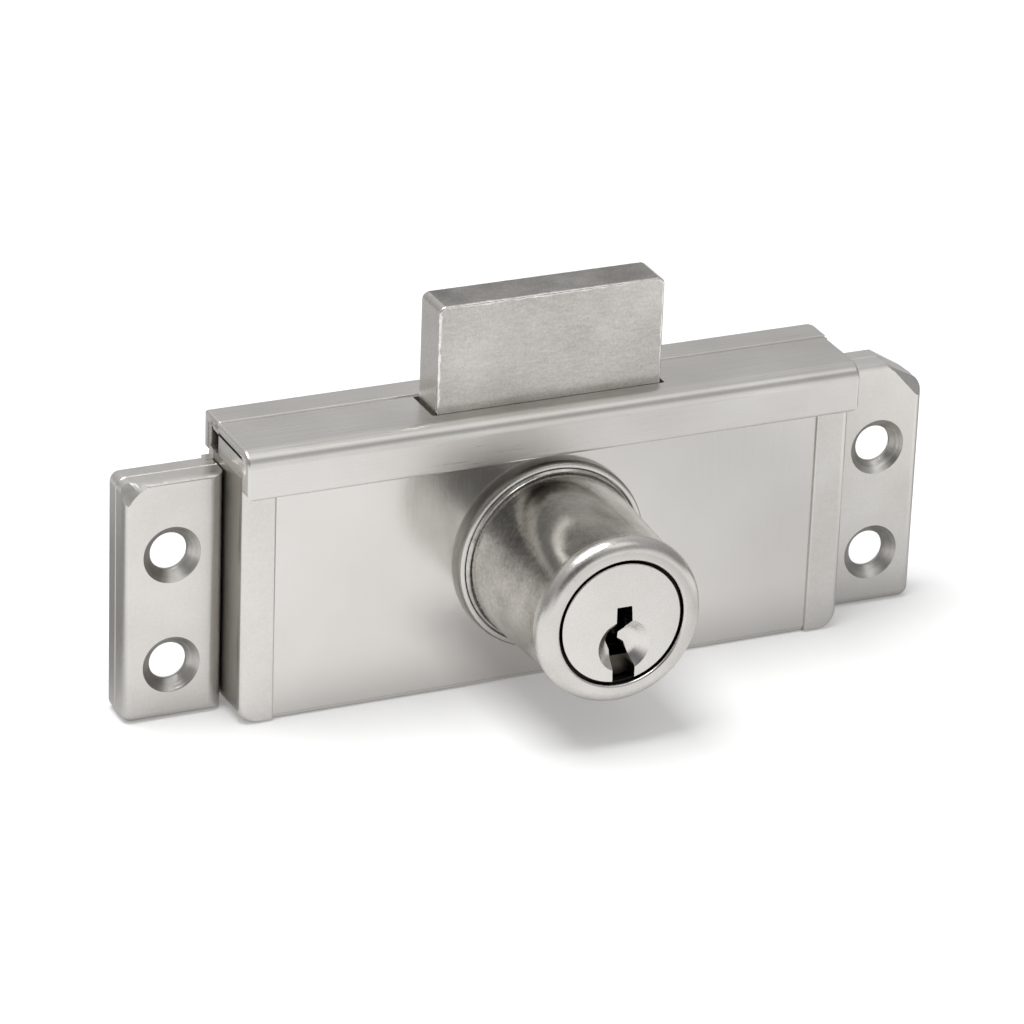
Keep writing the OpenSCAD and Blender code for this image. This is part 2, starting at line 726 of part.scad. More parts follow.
// One wafer with its window for the key and its lug over the spring
module wafer(k) {
    h = first_wafer_h - (k - 1) * wafer_pitch;
    bit = bitting[k - 1];
    color(BRASS)
    forward(h - wafer_t, h) translate([0, axis_z]) difference() {
        union() {
            intersection() {
                circle(wafer_r, $fn = 96);
                plate([-wafer_w / 2, -plug_d], [wafer_w / 2, plug_d]);
            }
            plate([0, lug_z], [lug_x, lug_z + lug_t]);
        }
        rounded([-2.1, -5.2 + bit], [2.2, 2.4 + bit], [0.4, 0.4, 0.4, 0.4]);
    }
}

// Points of one round of a tube's section, at angle a and height z
function coil_ring(a, z, rise) = let (side = [cos(a), sin(a), 0],
        along = [-sin(a) * cos(rise), cos(a) * cos(rise), sin(rise)], up = cross(side, along))
    [for (s = [0:5]) spring_r * side + [0, 0, z]
        + spring_wire / 2 * (cos(60 * s) * side + sin(60 * s) * up)];

// Coil spring under the lug of wafer k
module wafer_spring(k) {
    h = first_wafer_h - (k - 1) * wafer_pitch - wafer_t / 2;
    low = pocket_low_z + spring_wire / 2 + 0.05;
    high = lug_z - spring_wire / 2 - 0.05;
    steps = 12 * spring_turns;
    rise = atan((high - low) / (spring_turns * 2 * PI * spring_r));
    rings = [for (i = [0:steps]) coil_ring(30 * i, low + (high - low) * i / steps, rise)];
    points = [for (ring = rings) each ring];
    sides = [for (i = [0:steps - 1], s = [0:5]) let (a = 6 * i + s, b = 6 * i + (s + 1) % 6)
        each [[a, b, b + 6], [a, b + 6, a + 6]]];
    ends = concat([for (s = [1:4]) [0, s + 1, s]],
        [for (s = [1:4]) [6 * steps, 6 * steps + s, 6 * steps + s + 1]]);
    color(STEEL)
    translate([pocket_x, -h, axis_z]) polyhedron(points, concat(sides, ends));
}

// Open retaining clip in the neck's groove
module plug_clip() {
    mouth_x = neck_d / 2 - 1.6;
    color(STEEL)
    difference() {
        turned() plate([neck_d / 2 - 0.6 + fit_gap, clip_h + fit_gap],
            [clip_r, clip_h + clip_t - fit_gap]);
        forward(clip_h - over, clip_h + clip_t + over)
            plate([-mouth_x, axis_z - clip_r - over], [mouth_x, axis_z - 1]);
    }
}

// Polar angle of an involute where it reaches radius r
function involute_angle(r) = let (a = acos(min(1, base_r / r))) tan(a) * 180 / PI - a;

function polar(r, a) = [r * cos(a), r * sin(a)];

// Outline of one tooth about the angle mid
function tooth(mid) =
    let (half = 90 / gear_teeth - tooth_play / 4 / pitch_r * 180 / PI,
        spread = half + involute_angle(pitch_r), steps = 5)
    concat([polar(gear_root_r, mid - spread)],
        [for (i = [0:steps]) let (r = base_r + (gear_out_r - base_r) * i / steps)
            polar(r, mid - spread + involute_angle(r))],
        [for (i = [steps:-1:0]) let (r = base_r + (gear_out_r - base_r) * i / steps)
            polar(r, mid + spread - involute_angle(r))],
        [polar(gear_root_r, mid + spread)]);

module pinion() {
    color(STEEL)
    difference() {
        forward(gear_back_h, gear_front_h) translate([0, axis_z])
            polygon([for (k = [0:gear_teeth - 1]) each tooth(360 * (k + 0.5) / gear_teeth)]);
        forward(gear_back_h - over, gear_front_h + over) translate([0, axis_z])
            plate([-square_w / 2, -square_w / 2], [square_w / 2, square_w / 2]);
    }
}

module pinion_washer() {
    color(STEEL)
    turned() plate([gear_screw_r, gear_back_h - washer_t], [rack_tip_x - 0.35, gear_back_h]);
}

module pinion_screw() {
    head_h = gear_back_h - washer_t;
    back_h = head_h - gear_screw_head_t;
    tip_h = tail_back_h + gear_screw_l;
    color(STEEL)
    difference() {
        turned() polygon([[0, back_h], [gear_screw_head_r - 0.3, back_h],
            [gear_screw_head_r, back_h + 0.3], [gear_screw_head_r, head_h],
            [gear_screw_r, head_h], [gear_screw_r, tip_h], [0, tip_h]]);
        driver_slot(0, axis_z, gear_screw_head_r, back_h);
    }
}

// Rack tooth outline about height z, pointing at the pinion
function rack_tooth(z) =
    let (half = tooth_pitch / 4 - tooth_play / 4, slope = tan(pressure_angle))
    [[rack_tip_x, z - half + gear_module * slope], [rack_tip_x, z + half - gear_module * slope],
        [rack_root_x, z + half + 1.25 * gear_module * slope], [rack_root_x + 0.1, z + half],
        [rack_root_x + 0.1, z - half], [rack_root_x, z - half - 1.25 * gear_module * slope]];

module bolt() {
    r = bolt_edge_r;
    slot_r = pin_slot_w / 2 - 0.2;
    slot_low = pin_z - pin_slot_w / 2;
    slot_high = pin_z + travel + pin_slot_w / 2;
    color(STEEL)
    difference() {
        union() {
            difference() {
                cast_block(-bolt_w / 2, bolt_w / 2, leg_low_z, bolt_top_z, bolt_back_h, bolt_face_h,
                    [r, r, 1.6 * r, 1.6 * r], [r, r, r, r], [r, r, r, r]);
                forward(bolt_back_h - over, bolt_face_h + over)
                    rounded([window_left_x, leg_low_z - over], [rack_root_x, window_top_z],
                        [0, 0, 0, 1]);
            }
            intersection() {
                forward(bolt_back_h, bolt_face_h) for (k = [0:rack_teeth - 1])
                    polygon(rack_tooth(axis_z + k * tooth_pitch));
                forward(0, case_d) plate([0, leg_low_z], [bolt_w / 2, bolt_top_z]);
            }
        }
        for (x = [-pin_span / 2, pin_span / 2])
            forward(bolt_back_h - over, bolt_face_h + over)
                rounded([x - pin_slot_w / 2, slot_low], [x + pin_slot_w / 2, slot_high],
                    [slot_r, slot_r, slot_r, slot_r]);
    }
}

mounting_base();
case_shell();
front_panel();
panel_studs();
case_screws();
front_channel();
rear_rail();
channel_screws();
guide_pins();
rattle_spring();
spring_rivets();
base_ring();
cylinder_barrel();
plug();
plug_clip();
pinion();
pinion_washer();
pinion_screw();
wafer(1);  // wafer_1
wafer(2);  // wafer_2
wafer(3);  // wafer_3
wafer(4);  // wafer_4
wafer(5);  // wafer_5
wafer(6);  // wafer_6
wafer_spring(1);  // wafer_spring_1
wafer_spring(2);  // wafer_spring_2
wafer_spring(3);  // wafer_spring_3
wafer_spring(4);  // wafer_spring_4
wafer_spring(5);  // wafer_spring_5
wafer_spring(6);  // wafer_spring_6
bolt();
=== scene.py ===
"""Looks of the roller shutter lock: a nickel plated surface lock with a flat deadbolt.

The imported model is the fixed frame. X runs along the lock, -Y is the front with the
keyhole, and the bolt comes out along +Z. Sizes are in millimetres and are turned into
metres where a mesh is finished. A size whose name ends in _h is a distance in front of
the mounting face, which is Y = 0. One whose name ends in _skin is how far from a
surface a finish begins or ends.
"""

import logging
import math
from collections.abc import Callable
from dataclasses import dataclass
from enum import Enum

import bmesh
import bpy
from mathutils import Matrix, Vector, noise


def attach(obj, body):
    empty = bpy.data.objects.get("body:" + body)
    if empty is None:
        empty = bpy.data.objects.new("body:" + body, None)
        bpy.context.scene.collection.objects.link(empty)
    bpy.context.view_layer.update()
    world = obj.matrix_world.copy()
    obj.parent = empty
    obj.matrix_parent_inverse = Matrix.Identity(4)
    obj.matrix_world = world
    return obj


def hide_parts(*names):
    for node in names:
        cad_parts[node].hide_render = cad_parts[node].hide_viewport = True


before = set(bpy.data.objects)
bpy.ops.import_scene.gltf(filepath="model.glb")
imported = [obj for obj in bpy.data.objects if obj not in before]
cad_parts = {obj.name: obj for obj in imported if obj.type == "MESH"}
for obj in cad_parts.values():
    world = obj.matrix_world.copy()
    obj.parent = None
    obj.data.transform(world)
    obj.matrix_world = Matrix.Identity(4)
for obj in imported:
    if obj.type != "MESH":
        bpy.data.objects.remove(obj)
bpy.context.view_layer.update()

MM = 0.001  # in metres
ARC_STEP = 11.0  # longest step of an outline's arc, in degrees
ROUND_STEPS = 5  # steps of a rounded edge
BEVEL_FROM = 50.0  # smallest angle in degrees of an edge that is given a small round
BEVEL_STEPS = 2  # steps of that small round
LATHE_STEPS = 160  # steps of a full turn of a large lathed solid
BORE_STEPS = 96  # the same for a screw hole
SMALL_STEPS = 48  # the same for a pin's hole
FACET_STEPS = 120  # the same for the facet round the left ear's pad
HEAD_STEPS = 64  # the same for the hole of a screw and its head
POST_STEPS = 32  # the same for a screw post in the case
POCKET_STEPS = 24  # the same for a spring's pocket
PARALLEL = 1e-4  # sine of the turn below which two edges count as one
ON_AXIS = 1e-6  # radius below which a point lies on the axis
OVER = 0.6  # how far a cutter runs past the face that it cuts
WAVE = (0.9, 0.9, 0.2)  # waves per millimetre along a worn edge, and across it
LEVEL_SHIFT = 0.07  # how far the waves move on from one level to the next
NICKS = 2.3  # nicks per millimetre along a worn edge
NICK_PLANE = 7.0  # place of the nicks' noise, away from that of the waves
NICK_FLOOR = 0.25  # noise below which there is no nick
NICK_GAIN = 2.0  # depth of a nick against the rest of the wear
MARK_NOISE = (3.0, 0.6)  # detail and roughness of the noise of the tool marks
GRIT_NOISE = (2.0, 0.55)  # the same for the grit
CLOUD_NOISE = (3.0, 0.5)  # the same for the clouds
MARK_SHARE = 0.45  # share of the tool marks in a finish's tone
TONE_RANGE = (0.45, 1.0)  # tones between which a finish goes from shade to colour
MARK_RANGE = (0.3, 0.7)  # noise of the marks between which its roughness swings

log = logging.getLogger("lock")

Point = tuple[float, float]
Level = tuple[float, float, float]
Four = tuple[float, float, float, float]
Object = bpy.types.Object
Tree = bpy.types.NodeTree
Socket = bpy.types.NodeSocket
WHITE = (1.0, 1.0, 1.0, 1.0)


# Meshes


class Plane(Enum):
    """Plane in which an outline (u, v) is drawn, and the way w in which it is filled."""

    FRONT = "u is X, v is Z, w points to the front"
    SIDE = "u is Y, v is Z, w is X"
    TOP = "u is X, v is Y, w is Z"

    def place(self, u: float, v: float, w: float) -> Vector:
        """Return the point of the lock's frame for outline point u, v at depth w."""
        if self is Plane.FRONT:
            return Vector((u, -w, v))
        if self is Plane.SIDE:
            return Vector((w, u, v))
        return Vector((u, v, w))


@dataclass(frozen=True)
class Corner:
    """Corner of an outline, with its radius and the share of rounding of the edge after it."""

    u: float
    v: float
    r: float = 0.0
    front: float = 1.0
    back: float = 1.0


@dataclass
class Outline:
    """Closed anticlockwise loop of points with the rounding shares of its edges."""

    points: list[Point]
    front: list[float]
    back: list[float]

    def inset(self, back: float, front: float) -> list[Point]:
        """Return the loop with each edge moved inward by its own shares of two distances.

        Args:
            back: distance that counts by the edges' back shares.
            front: distance that counts by the edges' front shares.

        Returns:
            The moved points, one for each point of the loop.
        """
        moved = []
        count = len(self.points)
        for i, (u, v) in enumerate(self.points):
            before = self._normal(i - 1)
            after = self._normal(i)
            near = back * self.back[i - 1] + front * self.front[i - 1]
            far = back * self.back[i % count] + front * self.front[i % count]
            turn = before[0] * after[1] - before[1] * after[0]
            if abs(turn) < PARALLEL:
                mean = (near + far) / 2
                moved.append((u + before[0] * mean, v + before[1] * mean))
                continue
            moved.append((u + (near * after[1] - far * before[1]) / turn,
                          v + (far * before[0] - near * after[0]) / turn))
        return moved

    def _normal(self, index: int) -> Point:
        """Return the inward unit normal of the edge that starts at a point."""
        (u0, v0), (u1, v1) = self.points[index], self.points[(index + 1) % len(self.points)]
        length = math.hypot(u1 - u0, v1 - v0)
        return -(v1 - v0) / length, (u1 - u0) / length


def trace(corners: list[tuple[float, ...]], spacing: float = 0.0) -> Outline:
    """Turn corners into a loop of points, with an arc at each rounded corner.

    Args:
        corners: the corners' values, anticlockwise: u, v and as many of the others as matter.
        spacing: longest distance between points on straight edges, or 0 for no limit.

    Returns:
        The outline.
    """
    places = [Corner(*corner) for corner in corners]
    points: list[Point] = []
    front: list[float] = []
    back: list[float] = []

    def put(u: float, v: float, share_front: float, share_back: float) -> None:
        """Add a point and the shares of the edge after it."""
        points.append((u, v))
        front.append(share_front)
        back.append(share_back)

    for i, corner in enumerate(places):
        before = places[i - 1]
        after = places[(i + 1) % len(places)]
        here = Vector((corner.u, corner.v))
        to_before = (Vector((before.u, before.v)) - here).normalized()
        to_after = (Vector((after.u, after.v)) - here).normalized()
        if corner.r > 0:
            half = to_before.angle(to_after) / 2
            centre = here + (to_before + to_after).normalized() * (corner.r / math.sin(half))
            start = here + to_before * (corner.r / math.tan(half))
            sweep = math.pi - 2 * half
            if to_before.x * to_after.y - to_before.y * to_after.x > 0:
                sweep = -sweep
            first = math.atan2(start.y - centre.y, start.x - centre.x)
            steps = max(2, math.ceil(abs(math.degrees(sweep)) / ARC_STEP))
            for k in range(steps + 1):
                angle = first + sweep * k / steps
                mix = min(1.0, (k + 0.5) / steps)
                put(centre.x + corner.r * math.cos(angle), centre.y + corner.r * math.sin(angle),
                    before.front + (corner.front - before.front) * mix,
                    before.back + (corner.back - before.back) * mix)
            front[-1], back[-1] = corner.front, corner.back
        else:
            put(corner.u, corner.v, corner.front, corner.back)
        if spacing:
            last = Vector(points[-1])
            end = Vector((after.u, after.v)) - to_after * after.r
            pieces = int((end - last).length / spacing)
            for k in range(1, pieces):
                step = last.lerp(end, k / pieces)
                put(step.x, step.y, corner.front, corner.back)
    return Outline(points, front, back)


def rect(low: Point, high: Point, radii: Four = (0, 0, 0, 0), front: Four = (1, 1, 1, 1),
         back: Four = (1, 1, 1, 1)) -> Outline:
    """Return a rectangle.

    Args:
        low: its low left corner.
        high: its high right corner.
        radii: radius of each corner, anticlockwise from the low left one.
        front: rounding share of the low, right, high and left edge at the front end.
        back: the same at the back end.

    Returns:
        The outline.
    """
    places = [low, (high[0], low[1]), high, (low[0], high[1])]
    return trace([(*place, *rest) for place, *rest in zip(places, radii, front, back)])


def turned(*corners: tuple[float, ...]) -> Outline:
    """Return the profile of a solid turned about its axis, from its back to its front."""
    return trace([(0, corners[0][1]), *corners, (0, corners[-1][1])])


def straight(low: float, high: float) -> list[Level]:
    """Return the levels of a solid from low to high with sharp ends."""
    return [(0.0, 0.0, low), (0.0, 0.0, high)]


def rounded(low: float, high: float, low_r: float, high_r: float) -> list[Level]:
    """Return the levels of a solid from low to high with round edges at its two ends."""
    levels = []
    quarter = math.pi / 2
    for k in range(ROUND_STEPS + 1):
        angle = quarter * k / ROUND_STEPS
        if low_r > 0 or k == ROUND_STEPS:
            levels.append((low_r * (1 - math.sin(angle)), 0.0, low + low_r * (1 - math.cos(angle))))
    for k in range(ROUND_STEPS + 1):
        angle = quarter * (1 - k / ROUND_STEPS)
        if high_r > 0 or k == 0:
            levels.append((0.0, high_r * (1 - math.sin(angle)),
                           high - high_r * (1 - math.cos(angle))))
    return levels


def flared(low: float, high: float, low_r: float, high_r: float) -> list[Level]:
    """Return the levels of a cutter whose cut has round rims at the faces low and high.

    A radius of 0 leaves that rim sharp. The cutter runs past each face.
    """
    levels: list[Level] = [(-low_r, 0.0, low - OVER)]
    for k in range(ROUND_STEPS + 1 if low_r else 0):
        angle = math.pi / 2 * (1 - k / ROUND_STEPS)
        levels.append((-low_r * (1 - math.cos(angle)), 0.0, low + low_r * (1 - math.sin(angle))))
    for k in range(ROUND_STEPS + 1 if high_r else 0):
        angle = math.pi / 2 * k / ROUND_STEPS
        levels.append((0.0, -high_r * (1 - math.cos(angle)), high - high_r * (1 - math.sin(angle))))
    levels.append((0.0, -high_r, high + OVER))
    return levels


def linked(name: str, data: bpy.types.ID) -> Object:
    """Return a new object of the scene that shows some mesh, lamp or camera."""
    made = bpy.data.objects.new(name, data)
    bpy.context.scene.collection.objects.link(made)
    return made


class Shape:
    """A mesh under construction, in millimetres, made of closed shells."""

    def __init__(self) -> None:
        """Start an empty mesh."""
        self.mesh = bmesh.new()

    def loft(self, plane: Plane, outline: Outline, levels: list[Level], wander: float = 0.0,
             round_slot: int = 0) -> "Shape":
        """Add a solid whose outline is inset by each level's amounts at its depth.

        Args:
            plane: the plane of the outline.
            outline: the outline.
            levels: back inset, front inset and depth w, from low to high.
            wander: share by which the insets wander along the outline, as worn edges do.
            round_slot: material slot of the faces whose outline is inset.

        Returns:
            This shape.
        """
        loops = []
        for number, (back, front, w) in enumerate(levels):
            points = outline.inset(back, front)
            if wander and back + front > 0:
                uneven = outline.inset(back * (1 + wander), front * (1 + wander))
                points = [self._between(a, b, w, number) for a, b in zip(points, uneven)]
            loops.append([self.mesh.verts.new(plane.place(u, v, w)) for u, v in points])
        count = len(outline.points)
        for number, (low, high) in enumerate(zip(loops, loops[1:])):
            inset = sum(levels[number][:2]) + sum(levels[number + 1][:2]) > 0
            for i in range(count):
                j = (i + 1) % count
                face = self.mesh.faces.new((low[i], low[j], high[j], high[i]))
                face.material_index = round_slot if inset else 0
        self.mesh.faces.new(loops[0][::-1])
        self.mesh.faces.new(loops[-1])
        return self

    @staticmethod
    def _between(a: Point, b: Point, w: float, seed: int) -> Point:
        """Return a point from a to b and as far past a, by a noise of its place."""
        wave = noise.noise(Vector((a[0] * WAVE[0], a[1] * WAVE[1],
                                   w * WAVE[2] + seed * LEVEL_SHIFT)))
        nick = noise.noise(Vector((a[0] * NICKS, a[1] * NICKS, NICK_PLANE))) - NICK_FLOOR
        share = wave + max(0.0, nick) * NICK_GAIN
        return a[0] + (b[0] - a[0]) * share, a[1] + (b[1] - a[1]) * share

    def lathe(self, profile: Outline, axis_z: float, axis_x: float = 0.0,
              steps: int = LATHE_STEPS, sector: Point = (0.0, 360.0)) -> "Shape":
        """Add a solid turned about an axis along Y.

        Args:
            profile: closed loop of radius and h.
            axis_z: height of the axis.
            axis_x: place of the axis along the lock.
            steps: number of steps of a full turn.
            sector: first and last angle in degrees; a full turn closes on itself.

        Returns:
            This shape.
        """
        full = sector[1] - sector[0] >= 360
        count = max(2, round(steps * (sector[1] - sector[0]) / 360))
        poles: dict[int, bmesh.types.BMVert] = {}
        rings = []
        for k in range(count if full else count + 1):
            angle = math.radians(sector[0] + (sector[1] - sector[0]) * k / count)
            ring = []
            for i, (r, h) in enumerate(profile.points):
                if r < ON_AXIS:
                    if i not in poles:
                        poles[i] = self.mesh.verts.new((axis_x, -h, axis_z))
                    ring.append(poles[i])
                    continue
                ring.append(self.mesh.verts.new((axis_x + r * math.cos(angle), -h,
                                                 axis_z + r * math.sin(angle))))
            rings.append(ring)
        pairs = list(zip(rings, rings[1:] + ([rings[0]] if full else [])))
        size = len(profile.points)
        for one, two in pairs:
            for i in range(size):
                j = (i + 1) % size
                corners = [one[i], one[j], two[j], two[i]]
                distinct = [v for n, v in enumerate(corners) if v not in corners[:n]]
                if len(distinct) > 2:
                    self.mesh.faces.new(distinct)
        if not full:
            self.mesh.faces.new(rings[0])
            self.mesh.faces.new(rings[-1][::-1])
        return self

    def hull(self, points: list[Vector]) -> "Shape":
        """Add the convex solid round some points of the lock's frame."""
        corners = [self.mesh.verts.new(point) for point in points]
        bmesh.ops.convex_hull(self.mesh, input=corners)
        return self

    def solid(self, name: str) -> Object:
        """Return the shape as an object in millimetres, linked to the scene."""
        bmesh.ops.recalc_face_normals(self.mesh, faces=self.mesh.faces)
        data = bpy.data.meshes.new(name)
        self.mesh.to_mesh(data)
        self.mesh.free()
        return linked(name, data)


def block(name: str, low: Point, high: Point, levels: list[Level], radii: Four = (0, 0, 0, 0),
          front: Four = (1, 1, 1, 1), back: Four = (1, 1, 1, 1)) -> Object:
    """Return a solid that is a rectangle when seen from the front.

    Args:
        name: the object's name.
        low: the rectangle's low left corner.
        high: its high right corner.
        levels: the solid's levels, as for a loft.
        radii: as for a rectangle.
        front: as for a rectangle.
        back: as for a rectangle.

    Returns:
        The object.
    """
    return Shape().loft(Plane.FRONT, rect(low, high, radii, front, back), levels).solid(name)


def bake(target: Object) -> None:
    """Replace an object's mesh by what its modifiers make of it."""
    graph = bpy.context.evaluated_depsgraph_get()
    made = bpy.data.meshes.new_from_object(target.evaluated_get(graph))
    target.modifiers.clear()
    old = target.data
    target.data = made
    bpy.data.meshes.remove(old)


def combine(target: Object, tool: Object, how: str = "DIFFERENCE") -> None:
    """Cut, join or intersect an object with another one, which is used up.

    Args:
        target: the object that changes.
        tool: the other object.
        how: DIFFERENCE, UNION or INTERSECT.
    """
    step = target.modifiers.new("combine", "BOOLEAN")
    step.operation = how
    step.solver = "MANIFOLD"
    step.object = tool
    before = len(target.data.polygons)
    bake(target)
    log.info("combine %s %s %s: %d to %d faces", target.name, how, tool.name, before,
             len(target.data.polygons))
    if not target.data.polygons:
        raise RuntimeError(f"{how} left nothing of {target.name}")
    bpy.data.objects.remove(tool)


def off_axis(place: Vector, axis_z: float, axis_x: float = 0.0) -> float:
    """Return how far a place lies from an axis that runs front to back."""
    return math.hypot(place.x - axis_x, place.z - axis_z)


def paint(piece: Object, slot: int, test: Callable[[Vector], bool]) -> None:
    """Give another material slot to the faces whose centre, in millimetres, passes a test."""
    for face in piece.data.polygons:
        if test(face.center):
            face.material_index = slot


# Finishes


def linear(colour: str) -> Four:
    """Return the linear colour of an sRGB hex value such as D8D5D0."""
    parts = [int(colour[k:k + 2], 16) / 255 for k in (0, 2, 4)]
    return (*(p / 12.92 if p <= 0.04045 else ((p + 0.055) / 1.055) ** 2.4 for p in parts), 1.0)


def empty_tree(owner: bpy.types.Material | bpy.types.World) -> Tree:
    """Return the node tree of a material or world, emptied."""
    owner.use_nodes = True
    owner.node_tree.nodes.clear()
    return owner.node_tree


def add(tree: Tree, kind: str, inputs: dict | None = None, **settings: object) -> bpy.types.Node:
    """Add a node to a tree.

    Args:
        tree: the node tree.
        kind: the node's type.
        inputs: value or output socket for each input, by its name or number.
        settings: attributes of the node.

    Returns:
        The node.
    """
    node = tree.nodes.new(kind)
    for name, value in settings.items():
        setattr(node, name, value)
    for key, value in (inputs or {}).items():
        if isinstance(value, Socket):
            tree.links.new(value, node.inputs[key])
        else:
            node.inputs[key].default_value = value
    return node


def maths(tree: Tree, operation: str, *values: object) -> Socket:
    """Return the result of a math operation on numbers or sockets."""
    return add(tree, "ShaderNodeMath", dict(enumerate(values)), operation=operation).outputs[0]


def vectors(tree: Tree, operation: str, *values: object) -> bpy.types.Node:
    """Return the node of a vector operation on vectors or sockets."""
    return add(tree, "ShaderNodeVectorMath", dict(enumerate(values)), operation=operation)


def blend(tree: Tree, factor: Socket, low: object, high: object) -> Socket:
    """Return the colour that goes from low to high as the factor goes from 0 to 1."""
    return add(tree, "ShaderNodeMix", {"Factor": factor, "A": low, "B": high},
               data_type="RGBA").outputs["Result"]


def ramp(tree: Tree, value: Socket, start: float, end: float, low: float = 0.0,
         high: float = 1.0, kind: str = "SMOOTHSTEP") -> Socket:
    """Return a number that goes from low to high while a value goes from start to end.

    Args:
        tree: the node tree.
        value: the value.
        start: value at which the result is low.
        end: value at which the result is high.
        low: result before the start.
        high: result after the end.
        kind: SMOOTHSTEP or LINEAR.

    Returns:
        The result's socket.
    """
    return add(tree, "ShaderNodeMapRange", {
        "Value": value, "From Min": start, "From Max": end, "To Min": low, "To Max": high},
        interpolation_type=kind).outputs["Result"]


def cloudy(tree: Tree, place: Socket, size: float, detail: float, roughness: float) -> Socket:
    """Return a noise with spots of a given size at a place."""
    return add(tree, "ShaderNodeTexNoise", {
        "Vector": place, "Scale": 1 / size, "Detail": detail,
        "Roughness": roughness}).outputs["Fac"]


class Lay(Enum):
    """Way in which the tool marks of a finish run."""

    EVEN = "no direction"
    ALONG_X = "along the lock"
    ALONG_Z = "up the lock"
    IN_BORES = "round every bore that runs front to back"


@dataclass(frozen=True)
class MetalFinish:
    """A metal surface with tool marks, grit and soft clouds, all sized in millimetres."""

    name: str
    colour: str
    shade: str
    roughness: float
    lay: Lay = Lay.EVEN
    mark: float = 0.3
    mark_length: float = 6.0
    mark_depth: float = 0.001
    grit: float = 0.2
    grit_depth: float = 0.002
    cloud: float = 9.0
    cloud_depth: float = 0.0
    rough_swing: float = 0.04
    speckle: float = 0.0

    def material(self) -> bpy.types.Material:
        """Return the finish as a material, made once."""
        if self.name in bpy.data.materials:
            return bpy.data.materials[self.name]
        made = bpy.data.materials.new(self.name)
        tree = empty_tree(made)
        place = add(tree, "ShaderNodeTexCoord").outputs["Object"]
        mm = vectors(tree, "MULTIPLY", place, (1 / MM,) * 3).outputs[0]
        marks = cloudy(tree, self._lay_vector(tree, mm), 1.0, *MARK_NOISE)
        grit = cloudy(tree, mm, self.grit, *GRIT_NOISE)
        clouds = cloudy(tree, mm, self.cloud, *CLOUD_NOISE)
        tone = maths(tree, "MULTIPLY_ADD", marks, MARK_SHARE, clouds)
        if self.speckle > 0:
            swing = maths(tree, "SUBTRACT", grit, 0.5)
            tone = maths(tree, "MULTIPLY_ADD", swing, self.speckle, tone)
        colour = blend(tree, ramp(tree, tone, *TONE_RANGE, kind="LINEAR"), linear(self.shade),
                       linear(self.colour))
        roughness = ramp(tree, marks, *MARK_RANGE, self.roughness - self.rough_swing,
                         self.roughness + self.rough_swing, "LINEAR")
        normal = None
        for height, depth in ((clouds, self.cloud_depth), (marks, self.mark_depth),
                              (grit, self.grit_depth)):
            if depth > 0:
                inputs = {"Height": height, "Distance": depth * MM, "Strength": 1.0}
                if normal:
                    inputs["Normal"] = normal
                normal = add(tree, "ShaderNodeBump", inputs).outputs["Normal"]
        inputs = {"Base Color": colour, "Roughness": roughness, "Metallic": 1.0}
        if normal:
            inputs["Normal"] = normal
        shader = add(tree, "ShaderNodeBsdfPrincipled", inputs)
        add(tree, "ShaderNodeOutputMaterial", {"Surface": shader.outputs["BSDF"]})
        return made

    def _lay_vector(self, tree: Tree, mm: Socket) -> Socket:
        """Return coordinates in which the marks are one unit wide and run along the lay."""
        wide, long = 1 / self.mark, 1 / self.mark_length
        scales = {Lay.EVEN: (wide, wide, wide), Lay.ALONG_X: (long, wide, wide),
                  Lay.ALONG_Z: (wide, wide, long), Lay.IN_BORES: (long, wide, long)}[self.lay]
        return vectors(tree, "MULTIPLY", mm, scales).outputs[0]


# Zinc casting under satin nickel: tumbled before plating, so it is even and finely grained
NICKEL_CASTING = MetalFinish(
    "satin_nickel_on_zinc_casting", "E2E0DC", "D3D0CB", 0.32, grit=0.3, grit_depth=0.004,
    mark=0.6, mark_depth=0.002, cloud=11.0, cloud_depth=0.04, speckle=0.3)
# Painted shade: darker nickel for the case's left side wall and the foot ring's outer side
SHADED_SIDE_NICKEL = MetalFinish(
    "nickel_darkened_as_painted_shade", "A9A6A1", "98948F", 0.36, grit=0.3, grit_depth=0.004,
    mark=0.6, mark_depth=0.002, cloud=11.0, cloud_depth=0.04, speckle=0.3)
# Countersinks cut after casting: tool rings catch the light inside the holes
MACHINED_BORE = MetalFinish(
    "nickel_on_machined_bore", "DCDAD6", "8E8B86", 0.3, Lay.IN_BORES, mark=0.3, mark_length=9.0,
    mark_depth=0.04, grit=0.25, grit_depth=0.003, cloud=5.0)
# Nickel plated sheet of the panel: even satin with a faint leathery grain in its reflections
NICKEL_PANEL = MetalFinish(
    "satin_nickel_panel_sheet", "DFDDD9", "D7D4D0", 0.18, Lay.ALONG_Z, mark=0.12, mark_length=4.0,
    mark_depth=0.0002, grit=0.3, grit_depth=0.0034, cloud=18.0, cloud_depth=0.03, rough_swing=0.02)
# Nickel plated channel, brushed along its length with fine close lines
NICKEL_CHANNEL = MetalFinish(
    "brushed_nickel_sheet_lengthwise", "E0DEDA", "CDCAC5", 0.3, Lay.ALONG_X, mark=0.16,
    mark_length=16.0, mark_depth=0.0008, grit=0.28, grit_depth=0.003, cloud=16.0,
    cloud_depth=0.03, speckle=0.15)
# Front flange of the channel: finer brushed than its top, so it mirrors the cylinder's foot
NICKEL_FLANGE = MetalFinish(
    "satin_nickel_flange", "E1DFDB", "D4D1CD", 0.31, Lay.ALONG_X, mark=0.16, mark_length=10.0,
    mark_depth=0.0004, grit=0.28, grit_depth=0.0034, cloud=14.0, cloud_depth=0.04, speckle=0.15)
